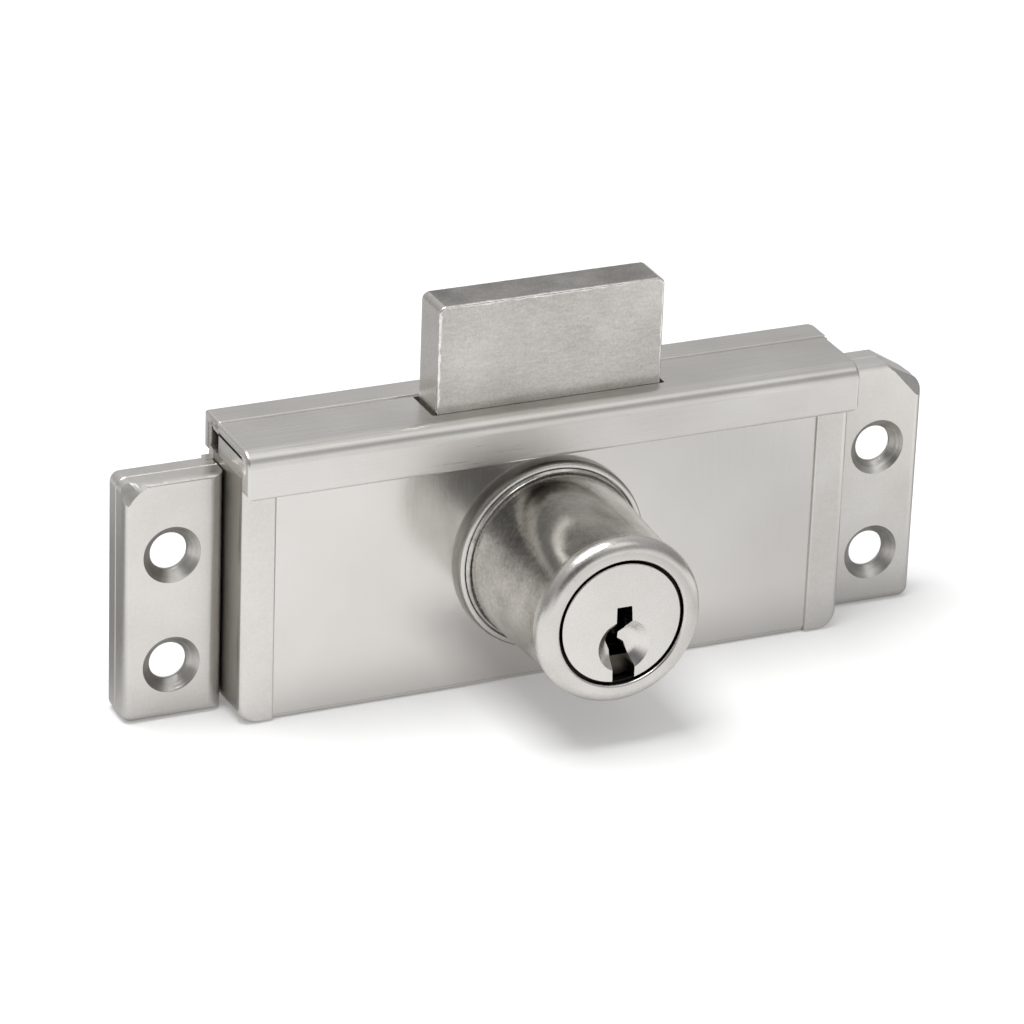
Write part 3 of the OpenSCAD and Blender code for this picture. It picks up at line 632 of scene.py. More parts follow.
# Nickel on the cylinder's barrel: polished over an uneven casting, so its mirror images swim; its
# dark and light colour clouds are painted reflections
NICKEL_BARREL = MetalFinish(
    "wavy_nickel_barrel_with_painted_reflections", "E6E4E0", "A19E99", 0.15, Lay.EVEN, mark=0.5,
    mark_depth=0.002, grit=0.26, grit_depth=0.009, cloud=6.0, cloud_depth=0.05, speckle=0.2)
# Nickel on the rim and the foot ring: faced clean, with short turning strokes
NICKEL_RIM = MetalFinish(
    "satin_nickel_on_turned_rim", "DAD7D3", "CDCAC5", 0.25, mark=0.4, mark_depth=0.0006, grit=0.26,
    grit_depth=0.0035, cloud=5.0, cloud_depth=0.01, speckle=0.1)
# Painted shade: near black for the narrow ring gap and the keyway walls
SHADED_GAP = MetalFinish(
    "gap_and_keyway_painted_shade", "3A3733", "24221F", 0.45, mark=0.3, mark_depth=0.003, grit=0.2,
    grit_depth=0.004, cloud=3.0)
# Faced plug: the finest satin of all
PLUG_FACE = MetalFinish(
    "faced_nickel_plug", "E1DFDB", "D8D5D0", 0.27, mark=0.5, mark_depth=0.0004, grit=0.25,
    grit_depth=0.0024, cloud=8.0, cloud_depth=0.01, rough_swing=0.01)
# Bare ground steel of the bolt: mottled, with a sandy grain
GROUND_STEEL = MetalFinish(
    "ground_bolt_steel", "DFDCD8", "B4B1AC", 0.33, Lay.ALONG_X, mark=0.35, mark_length=1.4,
    mark_depth=0.002, grit=0.2, grit_depth=0.008, cloud=15.0, cloud_depth=0.1, rough_swing=0.03,
    speckle=0.6)
# Edge of the bolt, rubbed bright by the keeper
WORN_STEEL = MetalFinish(
    "rubbed_bolt_edge", "FAF8F5", "CFCCC7", 0.2, mark=0.5, mark_depth=0.006, grit=0.3,
    grit_depth=0.012, cloud=1.6, speckle=0.6)
# Top end of the bolt: darker as painted shade, and rougher than its faces
SHADED_BOLT_TOP = MetalFinish(
    "bolt_top_painted_shade", "B4B1AD", "8A8784", 0.4, Lay.ALONG_X, mark=0.3, mark_length=1.2,
    mark_depth=0.006, grit=0.2, grit_depth=0.01, cloud=5.0, cloud_depth=0.04, speckle=0.9)
# Zinc plated screws and pins: bluish beside the castings' warm nickel
ZINC_PLATED = MetalFinish(
    "zinc_plated_screw", "C2C6CA", "A3A7AB", 0.32, mark=0.3, mark_depth=0.003, grit=0.2,
    grit_depth=0.003, cloud=3.0)
# Blue-black tempered spring steel
SPRING_STEEL = MetalFinish(
    "tempered_spring_steel", "8B8C8F", "6E6F73", 0.3, Lay.ALONG_X, mark=0.2, mark_length=3.0,
    mark_depth=0.002, grit=0.2, grit_depth=0.002, cloud=4.0)
# Pressed and sintered gear steel: dull, with open pores
SINTERED_STEEL = MetalFinish(
    "sintered_gear_steel", "86837E", "6B6864", 0.5, mark=0.25, mark_depth=0.01, grit=0.15,
    grit_depth=0.01, cloud=3.0, rough_swing=0.08)
# Brass wafers with a warm cast and a rolled grain, darkened as painted shade of the keyway
SHADED_WAFER_BRASS = MetalFinish(
    "wafer_brass_with_painted_shade", "55514A", "403D37", 0.36, Lay.ALONG_Z, mark=0.2, mark_length=3.0,
    mark_depth=0.003, grit=0.2, grit_depth=0.002, cloud=3.0)


# Pieces


@dataclass(frozen=True)
class Layout:
    """Sizes that several sub-assemblies share."""

    floor_z: float = -14.65
    axis_z: float = 2.35
    half_w: float = 40.8
    panel_half_w: float = 36.2
    channel_half_w: float = 40.9
    wall: float = 1.6
    back_wall: float = 1.5
    ledge_h: float = 8.2
    panel_back_h: float = 9.4
    panel_face_h: float = 10.6
    case_d: float = 11.0
    rim_z: float = 18.35
    under_z: float = 21.05
    top_z: float = 22.35
    seam_h: float = 3.0
    bolt_back_h: float = 3.7
    bolt_face_h: float = 9.3
    case_screw_x: float = 37.2
    case_screw_z: Point = (-9.65, 13.35)
    rail_screw_at: Point = (24.0, 19.35)
    rail_screw_r: float = 1.0
    wafers: int = 6


class Assembly:
    """What all sub-assemblies do with a finished mesh."""

    body = "case"

    def dress(self, piece: Object, node: str, slot: str, *finishes: MetalFinish,
              bevel: float = 0.0, sharp_from: float = 38.0) -> None:
        """Finish a piece's mesh, give it its materials and hang it on its body.

        Args:
            piece: the object, in millimetres.
            node: the CAD node that it stands for.
            slot: the record's material slot; not used.
            finishes: one finish for each material slot of the mesh.
            bevel: width in millimetres of the small round on what sharp edges are left, or 0.
            sharp_from: smallest angle in degrees of an edge that is not shaded smooth.
        """
        data = piece.data
        data.transform(Matrix.Scale(MM, 4))
        slots = [face.material_index for face in data.polygons]
        data.materials.clear()
        for finish in finishes:
            data.materials.append(finish.material())
        data.polygons.foreach_set("material_index", slots)
        if bevel:
            edge = piece.modifiers.new("edge", "BEVEL")
            edge.width = bevel * MM
            edge.segments = BEVEL_STEPS
            edge.limit_method = "ANGLE"
            edge.angle_limit = math.radians(BEVEL_FROM)
            bake(piece)
            data = piece.data
        data.shade_smooth()
        data.set_sharp_from_angle(angle=math.radians(sharp_from))
        normals = piece.modifiers.new("normals", "WEIGHTED_NORMAL")
        normals.keep_sharp = True
        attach(piece, self.body)
        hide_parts(node)
        log.info("piece %s: %d faces on %s", piece.name, len(data.polygons), self.body)


@dataclass
class MountingBase(Assembly):
    """Rear casting: a plate that closes the case and the two countersunk screw ears."""

    at: Layout
    end_x: float = 54.0
    ear_x: float = 40.95
    ear_t: float = 6.0
    left_top_z: float = 17.25
    right_top_z: float = 18.75
    edge_r: float = 1.3
    back_edge_r: float = 1.0
    corner_r: float = 1.5
    left_top_r: float = 1.45
    left_front: Four = (0.92, 1.5, 0.3, 0.6)
    left_back: Four = (0, 0, 1, 1)
    pad_r: float = 4.4
    pad_inset: float = 0.3
    pad_step: float = 2.3
    pad_lift: float = 1.0
    pad_reach: float = 5.0
    cut_w: float = 5.6
    cut_h: float = 3.4
    cut_turn_r: float = 2.2
    cut_end_r: float = 0.8
    facet_drop: float = 6.2
    facet_tilt: float = 40.0
    facet_along: Point = (-6.0, 14.0)  # from and to, along the cut corner
    facet_depth: float = 6.0
    facet_rise: float = 2.0
    bore_skin: float = 0.02
    hole_x: float = 47.7
    hole_z: float = 7.35
    hole_r: float = 2.4
    sink_r: float = 3.7
    throat_r: float = 0.1
    core_r: float = 5.75
    core_top_r: float = 3.1
    core_shift: Point = (0.35, -0.3)  # along x and z
    core_top_h: float = 4.3
    parting_h: float = 3.0
    # Share of the draft, and distance from the parting line at which it is reached
    parting: tuple[Point, ...] = ((0.9, 0.2), (0.25, 0.08))
    draft: float = 0.14
    tongue: float = 1.0
    shoulder: float = 1.2
    seat_h: float = 0.1
    seat_z: float = 17.6
    seat_half_w: float = 30.0
    guide_x: float = 15.1
    guide_w: float = 2.5
    guide_lip: float = 1.6
    guide_play: float = 0.1
    lip_overlap: float = 0.3
    lip_drop: float = 0.05
    stiffener_x: float = 24.9
    stiffener_w: float = 1.4
    stiffener_drop: float = 1.0
    rib_edge_r: float = 0.3
    lip_edge_r: float = 0.2
    sunk: float = 0.2
    screw_r: float = 1.25
    head_r: float = 2.2
    pin_at: Point = (10.6, 4.85)
    pin_r: float = 1.5
    rivet_at: Point = (1.9, 13.85)
    rivet_r: float = 0.8
    hole_gap: float = 0.02

    def build(self) -> None:
        """Build the casting as one piece."""
        plate = self._plate()
        for ear in (self._left_ear(), self._right_ear()):
            combine(plate, ear, "UNION")
        plate.name = "rear_casting"
        paint(plate, 1, self._in_bore)
        self.dress(plate, "mounting_base", "nickel_casting", NICKEL_CASTING, MACHINED_BORE,
                   bevel=0.12, sharp_from=24.0)

    def _in_bore(self, centre: Vector) -> bool:
        """Tell whether a face belongs to the front part of an ear's countersunk hole."""
        off = math.hypot(abs(centre.x) - self.hole_x, abs(centre.z) - self.hole_z)
        front = self.ear_t - self.bore_skin
        return off < self.sink_r and self.core_top_h < -centre.y < front

    def _ear_levels(self) -> list[Level]:
        """Return the levels of an ear: round edges, draft both ways and a parting line."""
        levels = [(back + self.draft, front, w) for back, front, w in
                  rounded(0.0, self.ear_t, self.back_edge_r, self.edge_r)]
        crest = [(self.draft * share, 0.0, self.parting_h + side * step)
                 for share, step in self.parting for side in (-1, 1)]
        return sorted(levels + crest, key=lambda level: level[2])

    def _cut_holes(self, ear: Object, side: int) -> None:
        """Cut an ear's countersunk holes and core the ear out behind them."""
        depth = self.sink_r - self.hole_r
        bore = turned((self.hole_r, self.core_top_h - OVER / 2),
                      (self.hole_r, self.ear_t - depth, self.throat_r),
                      (self.sink_r + OVER, self.ear_t + OVER))
        core = turned((self.core_r, -OVER), (self.core_top_r, self.core_top_h))
        holes, cores = Shape(), Shape()
        for z in (-self.hole_z, self.hole_z):
            holes.lathe(bore, z, side * self.hole_x, BORE_STEPS)
            cores.lathe(core, z + self.core_shift[1], side * self.hole_x + self.core_shift[0],
                        BORE_STEPS)
        combine(ear, holes.solid("holes"))
        combine(ear, cores.solid("cores"))

    def _left_ear(self) -> Object:
        """Return the left ear, whose top corner is cut down round a pad."""
        ear = block("left_ear", (-self.end_x, self.at.floor_z), (-self.ear_x, self.left_top_z),
                    self._ear_levels(), radii=(self.corner_r, 0, 0, self.left_top_r),
                    front=self.left_front, back=self.left_back)
        inset = self.pad_r + self.pad_inset
        low_h, high_h = self.ear_t - self.pad_step, self.ear_t + self.pad_lift
        reach = self.pad_r + self.pad_reach
        facet = trace([(reach, high_h), (reach, low_h), (self.pad_r + self.pad_step, low_h),
                       (self.pad_r - self.pad_lift, high_h)])
        combine(ear, Shape().lathe(facet, self.left_top_z - inset, inset - self.end_x,
                                   FACET_STEPS, (90.0, 180.0)).solid("facet"))
        self._cut_holes(ear, -1)
        return ear

    def _right_ear(self) -> Object:
        """Return the right ear, whose top corner is cut off with a facet in front."""
        low, top = self.at.floor_z, self.right_top_z
        # Each corner: place, radius, and the shares of rounding of the edge after it
        ear = Shape().loft(Plane.FRONT, trace([
            (self.ear_x, low, 0, 0.92, 0), (self.end_x, low, self.corner_r, 0.92, 1),
            (self.end_x, top - self.cut_h, self.cut_turn_r, 0.3, 0.5),
            (self.end_x - self.cut_w, top, self.cut_end_r, 0.55, 1),
            (self.ear_x, top, 0, 0, 0)]), self._ear_levels()).solid("right_ear")
        slope = math.atan2(self.facet_drop, self.cut_w)
        tilt = math.radians(self.facet_tilt)
        deep = self.facet_depth
        wedge = []
        for along in self.facet_along:
            for out, h in ((-math.cos(tilt), self.ear_t + math.sin(tilt)),
                           (deep * math.cos(tilt), self.ear_t - deep * math.sin(tilt)),
                           (deep * math.cos(tilt), self.ear_t + self.facet_rise)):
                wedge.append(Vector((
                    self.end_x - self.cut_w + along * math.cos(slope) + out * math.sin(slope), -h,
                    top - along * math.sin(slope) + out * math.cos(slope))))
        combine(ear, Shape().hull(wedge).solid("facet"))
        self._cut_holes(ear, 1)
        return ear

    def _plate(self) -> Object:
        """Return the plate behind the case with the bolt's guides and two stiffeners."""
        at = self.at
        half, low, rim = at.half_w, at.floor_z, at.rim_z
        wide, step, seat = half + self.tongue, rim - self.shoulder, self.seat_half_w
        plate = Shape().loft(Plane.FRONT, trace([
            (-wide, low), (wide, low), (wide, step), (half, step), (half, rim), (seat, rim),
            (seat, at.under_z), (-seat, at.under_z), (-seat, rim), (-half, rim), (-half, step),
            (-wide, step)]), straight(0.0, at.back_wall)).solid("plate")
        combine(plate, block("seat", (-self.ear_x, self.seat_z), (self.ear_x, at.top_z),
                             straight(-OVER, self.seat_h)))
        low_z = low + at.wall + self.sunk
        back = at.back_wall - self.sunk
        half_rib = self.stiffener_w / 2
        ribs = Shape()
        for side in (-1, 1):
            for near, far, high_z, high_h, edge_r in (
                    (self.guide_x, self.guide_x + self.guide_w, at.under_z, at.bolt_face_h,
                     self.rib_edge_r),
                    (self.guide_x - self.guide_lip, self.guide_x + self.lip_overlap,
                     at.under_z - self.lip_drop, at.bolt_back_h - self.guide_play,
                     self.lip_edge_r),
                    (self.stiffener_x - half_rib, self.stiffener_x + half_rib,
                     rim - self.stiffener_drop, at.ledge_h, self.rib_edge_r)):
                left, right = sorted((side * near, side * far))
                ribs.loft(Plane.FRONT, rect((left, low_z), (right, high_z)),
                          rounded(back, high_h, 0, edge_r))
        combine(plate, ribs.solid("ribs"), "UNION")
        combine(plate, self._plate_holes())
        return plate

    def _plate_holes(self) -> Object:
        """Return the cutters of the holes that screws, pins and rivets fill."""
        holes = Shape()
        front, gap = self.at.back_wall + OVER / 2, self.hole_gap
        shank = self.screw_r + gap
        screw = turned((self.head_r + OVER + gap, -OVER), (shank, self.head_r - self.screw_r),
                       (shank, front))
        for side in (-1, 1):
            for z in self.at.case_screw_z:
                holes.lathe(screw, z, side * self.at.case_screw_x, HEAD_STEPS)
            for (x, z), r in ((self.pin_at, self.pin_r), (self.rivet_at, self.rivet_r),
                              (self.at.rail_screw_at, self.at.rail_screw_r)):
                holes.lathe(turned((r + gap, -OVER), (r + gap, front)), z, side * x, SMALL_STEPS)
        return holes.solid("plate_holes")


@dataclass
class CaseShell(Assembly):
    """Front casting: side walls, bottom wall and the two strips beside the panel."""

    at: Layout
    corner_r: float = 2.5
    edge_r: float = 1.0
    back_edge_r: float = 0.5
    front: Four = (0.45, 1, 0, 1)
    back: Four = (0.2, 0.2, 0, 0.2)
    strip_edge_r: float = 0.39
    side_x: float = -40.66
    crest_rise: float = 1.9
    crest_step: float = 0.5
    crest_sunk: float = 0.5
    crest_h: Point = (1.6, 10.6)
    crest_edge_r: float = 0.3
    ledge_w: float = 4.0
    post_r: float = 2.4
    post_hole_r: float = 1.25
    post_top_h: float = 8.4
    post_hole_h: float = 6.7

    def build(self) -> None:
        """Build the casting as one piece."""
        at = self.at
        shell = block("front_casting", (-at.half_w, at.floor_z), (at.half_w, at.rim_z),
                      rounded(at.back_wall, at.case_d, self.back_edge_r, self.edge_r),
                      radii=(self.corner_r, self.corner_r, 0, 0), front=self.front, back=self.back)
        high_z = at.rim_z + OVER
        for name, half, low_z, levels in (
                ("bay", at.panel_half_w, at.floor_z - OVER,
                 flared(at.panel_back_h + OVER, at.case_d, 0, self.strip_edge_r)),
                ("window", at.panel_half_w - self.ledge_w, at.floor_z + at.wall,
                 straight(at.ledge_h - OVER, at.case_d + OVER)),
                ("room", at.half_w - at.wall, at.floor_z + at.wall,
                 straight(at.back_wall - OVER, at.ledge_h))):
            combine(shell, block(name, (-half, low_z), (half, high_z), levels))
        post = trace([
            (self.post_hole_r, at.back_wall), (self.post_r, at.back_wall),
            (self.post_r, self.post_top_h), (0, self.post_top_h), (0, self.post_hole_h),
            (self.post_hole_r, self.post_hole_h)])
        posts, crests = Shape(), Shape()
        for x in (-at.case_screw_x, at.case_screw_x):
            for z in at.case_screw_z:
                posts.lathe(post, z, x, POST_STEPS)
        combine(shell, posts.solid("posts"), "UNION")
        for x in (self.crest_step - at.half_w, at.half_w - at.wall):
            crests.loft(Plane.FRONT, rect(
                (x, at.rim_z - self.crest_sunk),
                (x + at.wall - self.crest_step, at.rim_z + self.crest_rise)),
                rounded(*self.crest_h, self.crest_edge_r, self.crest_edge_r))
        combine(shell, crests.solid("crests"), "UNION")
        # Painted shade: only the left side wall gets the darker nickel
        paint(shell, 1, lambda centre: centre.x < self.side_x)
        self.dress(shell, "case_shell", "nickel_casting", NICKEL_CASTING, SHADED_SIDE_NICKEL, bevel=0.1)


@dataclass
class FrontPanel(Assembly):
    """Flat sheet inlaid between the strips, with its lower edge rolled softly back."""

    at: Layout
    hole_r: float = 9.65
    hole_relief: float = 0.4
    corner_r: float = 0.4
    low_edge_r: float = 0.7

    def build(self) -> None:
        """Build the sheet with the cylinder's hole."""
        at = self.at
        back, face = at.panel_back_h, at.panel_face_h
        sheet = block("front_sheet", (-at.panel_half_w, at.floor_z), (at.panel_half_w, at.rim_z),
                      rounded(back, face, 0, self.low_edge_r),
                      radii=(self.corner_r, self.corner_r, 0, 0), front=(1, 0, 0, 0),
                      back=(0, 0, 0, 0))
        combine(sheet, Shape().lathe(turned(
            (self.hole_r + self.hole_relief + OVER, back - OVER),
            (self.hole_r, back + self.hole_relief), (self.hole_r, face + OVER)),
            at.axis_z).solid("hole"))
        self.dress(sheet, "front_panel", "nickel_sheet", NICKEL_PANEL)


@dataclass
class TopChannel(Assembly):
    """Formed channel over the top with the bolt's slot, and the rail behind it."""

    at: Layout
    flange_low_z: float = 16.15
    flange_t: float = 2.0
    flange_edge_r: float = 0.5
    flange_corner_r: float = 1.3
    flange_skin: float = 0.4
    face_span: Point = (-5.0, 20.0)
    edge_r: float = 2.0
    bend_r: float = 0.6
    seam_edge_r: float = 0.04
    lap_w: float = 1.8
    lap_t: float = 0.5
    slot_half_w: float = 15.5
    slot_h: Point = (3.2, 9.4)
    slot_corner_r: float = 0.25
    slot_rim_r: float = 0.12
    end_r: float = 0.45
    rail_top_z: float = 22.55
    rail_low_z: float = 17.65
    rail_t: float = 2.0
    rail_edge_r: float = 1.4
    rail_low_r: float = 0.5
    rail_seam_r: float = 0.19
    rail_far_end_r: float = 0.2
    rail_corners: Point = (2.6, 1.2)
    plan_reach: float = 1.0
    plan_span: Point = (16.0, 24.0)
    rail_seat: float = 0.1
    gap: float = 0.05
    screw_head_r: float = 1.7

    def build(self) -> None:
        """Build the channel and the rail."""
        self._channel()
        self._rail()

    def _channel(self) -> None:
        """Build the channel with the flange that hangs over the panel."""
        at = self.at
        front = at.case_d + self.flange_t
        lap_y, lap_z = self.lap_w - at.seam_h, at.under_z + self.lap_t
        section = trace([
            (-front, self.flange_low_z, self.flange_edge_r), (-at.case_d, self.flange_low_z),
            (-at.case_d, at.under_z, self.bend_r), (-at.seam_h, at.under_z), (lap_y, at.under_z),
            (lap_y, lap_z), (-at.seam_h, lap_z), (-at.seam_h, at.top_z, self.seam_edge_r),
            (-front, at.top_z, self.edge_r)])
        half = at.channel_half_w
        channel = Shape().loft(Plane.SIDE, section, rounded(
            -half, half, self.end_r, self.end_r)).solid("front_channel_formed")
        slot = Shape().loft(Plane.TOP, rect(
            (-self.slot_half_w, -self.slot_h[1]), (self.slot_half_w, -self.slot_h[0]),
            (self.slot_corner_r,) * 4), flared(at.under_z - OVER, at.top_z, 0, self.slot_rim_r))
        combine(channel, slot.solid("slot"))
        combine(channel, block("face", (-half, self.flange_low_z), (half, at.top_z + OVER),
                               straight(*self.face_span),
                               radii=(self.flange_corner_r, self.flange_corner_r, 0, 0)),
                "INTERSECT")
        paint(channel, 1, lambda centre: -centre.y > front - self.flange_skin
              and centre.z < at.top_z - self.edge_r)
        self.dress(channel, "front_channel", "nickel_sheet", NICKEL_CHANNEL, NICKEL_FLANGE,
                   bevel=0.06)

    def _rail(self) -> None:
        """Build the raised rear half with the flange that hooks behind the case."""
        at = self.at
        half = at.channel_half_w
        lap_y = self.lap_w + self.gap - at.seam_h
        lap_z = at.under_z + self.lap_t + self.gap
        section = trace([
            (-self.rail_seat, self.rail_low_z), (self.rail_t, self.rail_low_z, self.rail_low_r),
            (self.rail_t, self.rail_top_z, self.rail_edge_r),
            (-at.seam_h, self.rail_top_z, self.rail_seam_r), (-at.seam_h, lap_z), (lap_y, lap_z),
            (lap_y, at.under_z), (-self.rail_seat, at.under_z)])
        rail = Shape().loft(Plane.SIDE, section, rounded(
            -half, half, self.end_r, self.rail_far_end_r)).solid("rear_rail_formed")
        plan = Shape().loft(Plane.TOP, rect(
            (-half, -at.seam_h - self.plan_reach), (half, self.rail_t),
            (0, 0, *self.rail_corners)), straight(*self.plan_span)).solid("plan")
        combine(rail, plan, "INTERSECT")
        screw_x, screw_z = at.rail_screw_at
        screw = turned(
            (self.screw_head_r + OVER, -self.rail_t - OVER),
            (at.rail_screw_r, self.screw_head_r - at.rail_screw_r - self.rail_t),
            (at.rail_screw_r, OVER))
        holes = Shape()
        for x in (-screw_x, screw_x):
            holes.lathe(screw, screw_z, x, SMALL_STEPS)
        combine(rail, holes.solid("holes"))
        self.dress(rail, "rear_rail", "nickel_sheet", NICKEL_CHANNEL, bevel=0.06)


@dataclass
class Cylinder(Assembly):
    """Fixed cylinder: the barrel with its rim, and the ring round its foot."""

    at: Layout
    face_h: float = 32.5
    bore_r: float = 8.0
    mouth_r: float = 8.2
    mouth_round: float = 0.4
    mouth_depth: float = 1.0
    mouth_bright: float = 0.36
    mouth_skin: float = 0.05
    rim_r: float = 10.85
    rim_t: float = 2.3
    rim_edge_r: float = 1.8
    rim_back_r: float = 0.3
    rim_slope: float = 0.1
    rim_skin: float = 0.2
    front_r: float = 10.4
    waist_r: float = 0.5
    foot_barrel_r: float = 11.25
    foot_r: float = 11.65
    foot_edge_r: float = 0.15
    spigot_r: float = 9.6
    spigot_relief: float = 0.4
    foot_flare: float = 0.35
    foot_sunk: float = 0.1
    waist_gap: float = 0.4
    seat_w: float = 0.8
    seat_t: float = 0.4
    neck_r: float = 4.05
    clip_room_r: float = 6.5
    rear_wall_h: Point = (10.2, 11.4)
    ring_r: float = 12.55
    ring_t: float = 1.5
    ring_gap: float = 0.1
    ring_play: float = 0.05
    ring_skin: float = 0.3
    ring_edge_r: float = 0.75
    ring_inner_r: float = 0.12
    groove_x: float = 4.5
    groove_z: float = 9.35
    groove_h: Point = (16.95, 30.65)

    def build(self) -> None:
        """Build the barrel and the ring."""
        self._barrel()
        self._ring()

    def _barrel(self) -> None:
        """Build the barrel with its rim, bore and wafer grooves."""
        at = self.at
        back, panel, spigot = at.panel_back_h, at.panel_face_h, self.spigot_r
        seat_r, seat_h = spigot + self.seat_w, panel + self.seat_t
        foot_h = panel + self.ring_t - self.foot_sunk
        rim_back_h = self.face_h - self.rim_t
        mouth_h = self.face_h - self.mouth_depth
        wall_back_h, wall_h = self.rear_wall_h
        barrel = Shape().lathe(trace([
            (self.clip_room_r, back), (spigot + self.spigot_relief, back),
            (spigot, back + self.spigot_relief), (spigot, panel), (seat_r, panel),
            (seat_r, seat_h), (self.foot_r, seat_h), (self.foot_r, foot_h, self.foot_edge_r),
            (self.foot_barrel_r, foot_h + self.foot_flare, self.waist_r),
            (self.front_r, rim_back_h - self.waist_gap, self.waist_r),
            (self.rim_r, rim_back_h + self.rim_slope, self.rim_back_r),
            (self.rim_r, self.face_h, self.rim_edge_r),
            (self.mouth_r, self.face_h, self.mouth_round), (self.mouth_r, mouth_h),
            (self.bore_r, mouth_h), (self.bore_r, wall_h), (self.neck_r, wall_h),
            (self.neck_r, wall_back_h), (self.clip_room_r, wall_back_h)]),
            at.axis_z).solid("cylinder_housing")
        x, z = self.groove_x, self.groove_z
        combine(barrel, block("grooves", (-x, at.axis_z - z), (x, at.axis_z + z),
                              straight(*self.groove_h)))
        paint(barrel, 1, lambda centre: -centre.y > rim_back_h - self.rim_skin)
        # Painted shade: the ring gap inside the mouth gets near black
        paint(barrel, 2, lambda centre: -centre.y < self.face_h - self.mouth_bright
              and off_axis(centre, at.axis_z) < self.mouth_r + self.mouth_skin)
        self.dress(barrel, "cylinder_barrel", "cylinder_nickel", NICKEL_BARREL, NICKEL_RIM,
                   SHADED_GAP, bevel=0.05)

    def _ring(self) -> None:
        """Build the ring, which lies on the panel round the barrel's foot."""
        at = self.at
        back, face = at.panel_face_h, at.panel_face_h + self.ring_t
        hole, foot = self.spigot_r + self.seat_w + self.ring_play, self.foot_r + self.ring_gap
        step_h = back + self.seat_t - self.ring_play
        ring = Shape().lathe(trace([
            (hole, back), (self.ring_r, back), (self.ring_r, face, self.ring_edge_r),
            (foot, face, self.ring_inner_r), (foot, step_h), (hole, step_h)]),
            at.axis_z).solid("foot_ring")
        # Painted shade: the ring's outer side gets the darker nickel
        paint(ring, 1, lambda centre: off_axis(centre, at.axis_z) > self.ring_r - self.ring_skin)
        self.dress(ring, "base_ring", "cylinder_nickel", NICKEL_RIM, SHADED_SIDE_NICKEL)


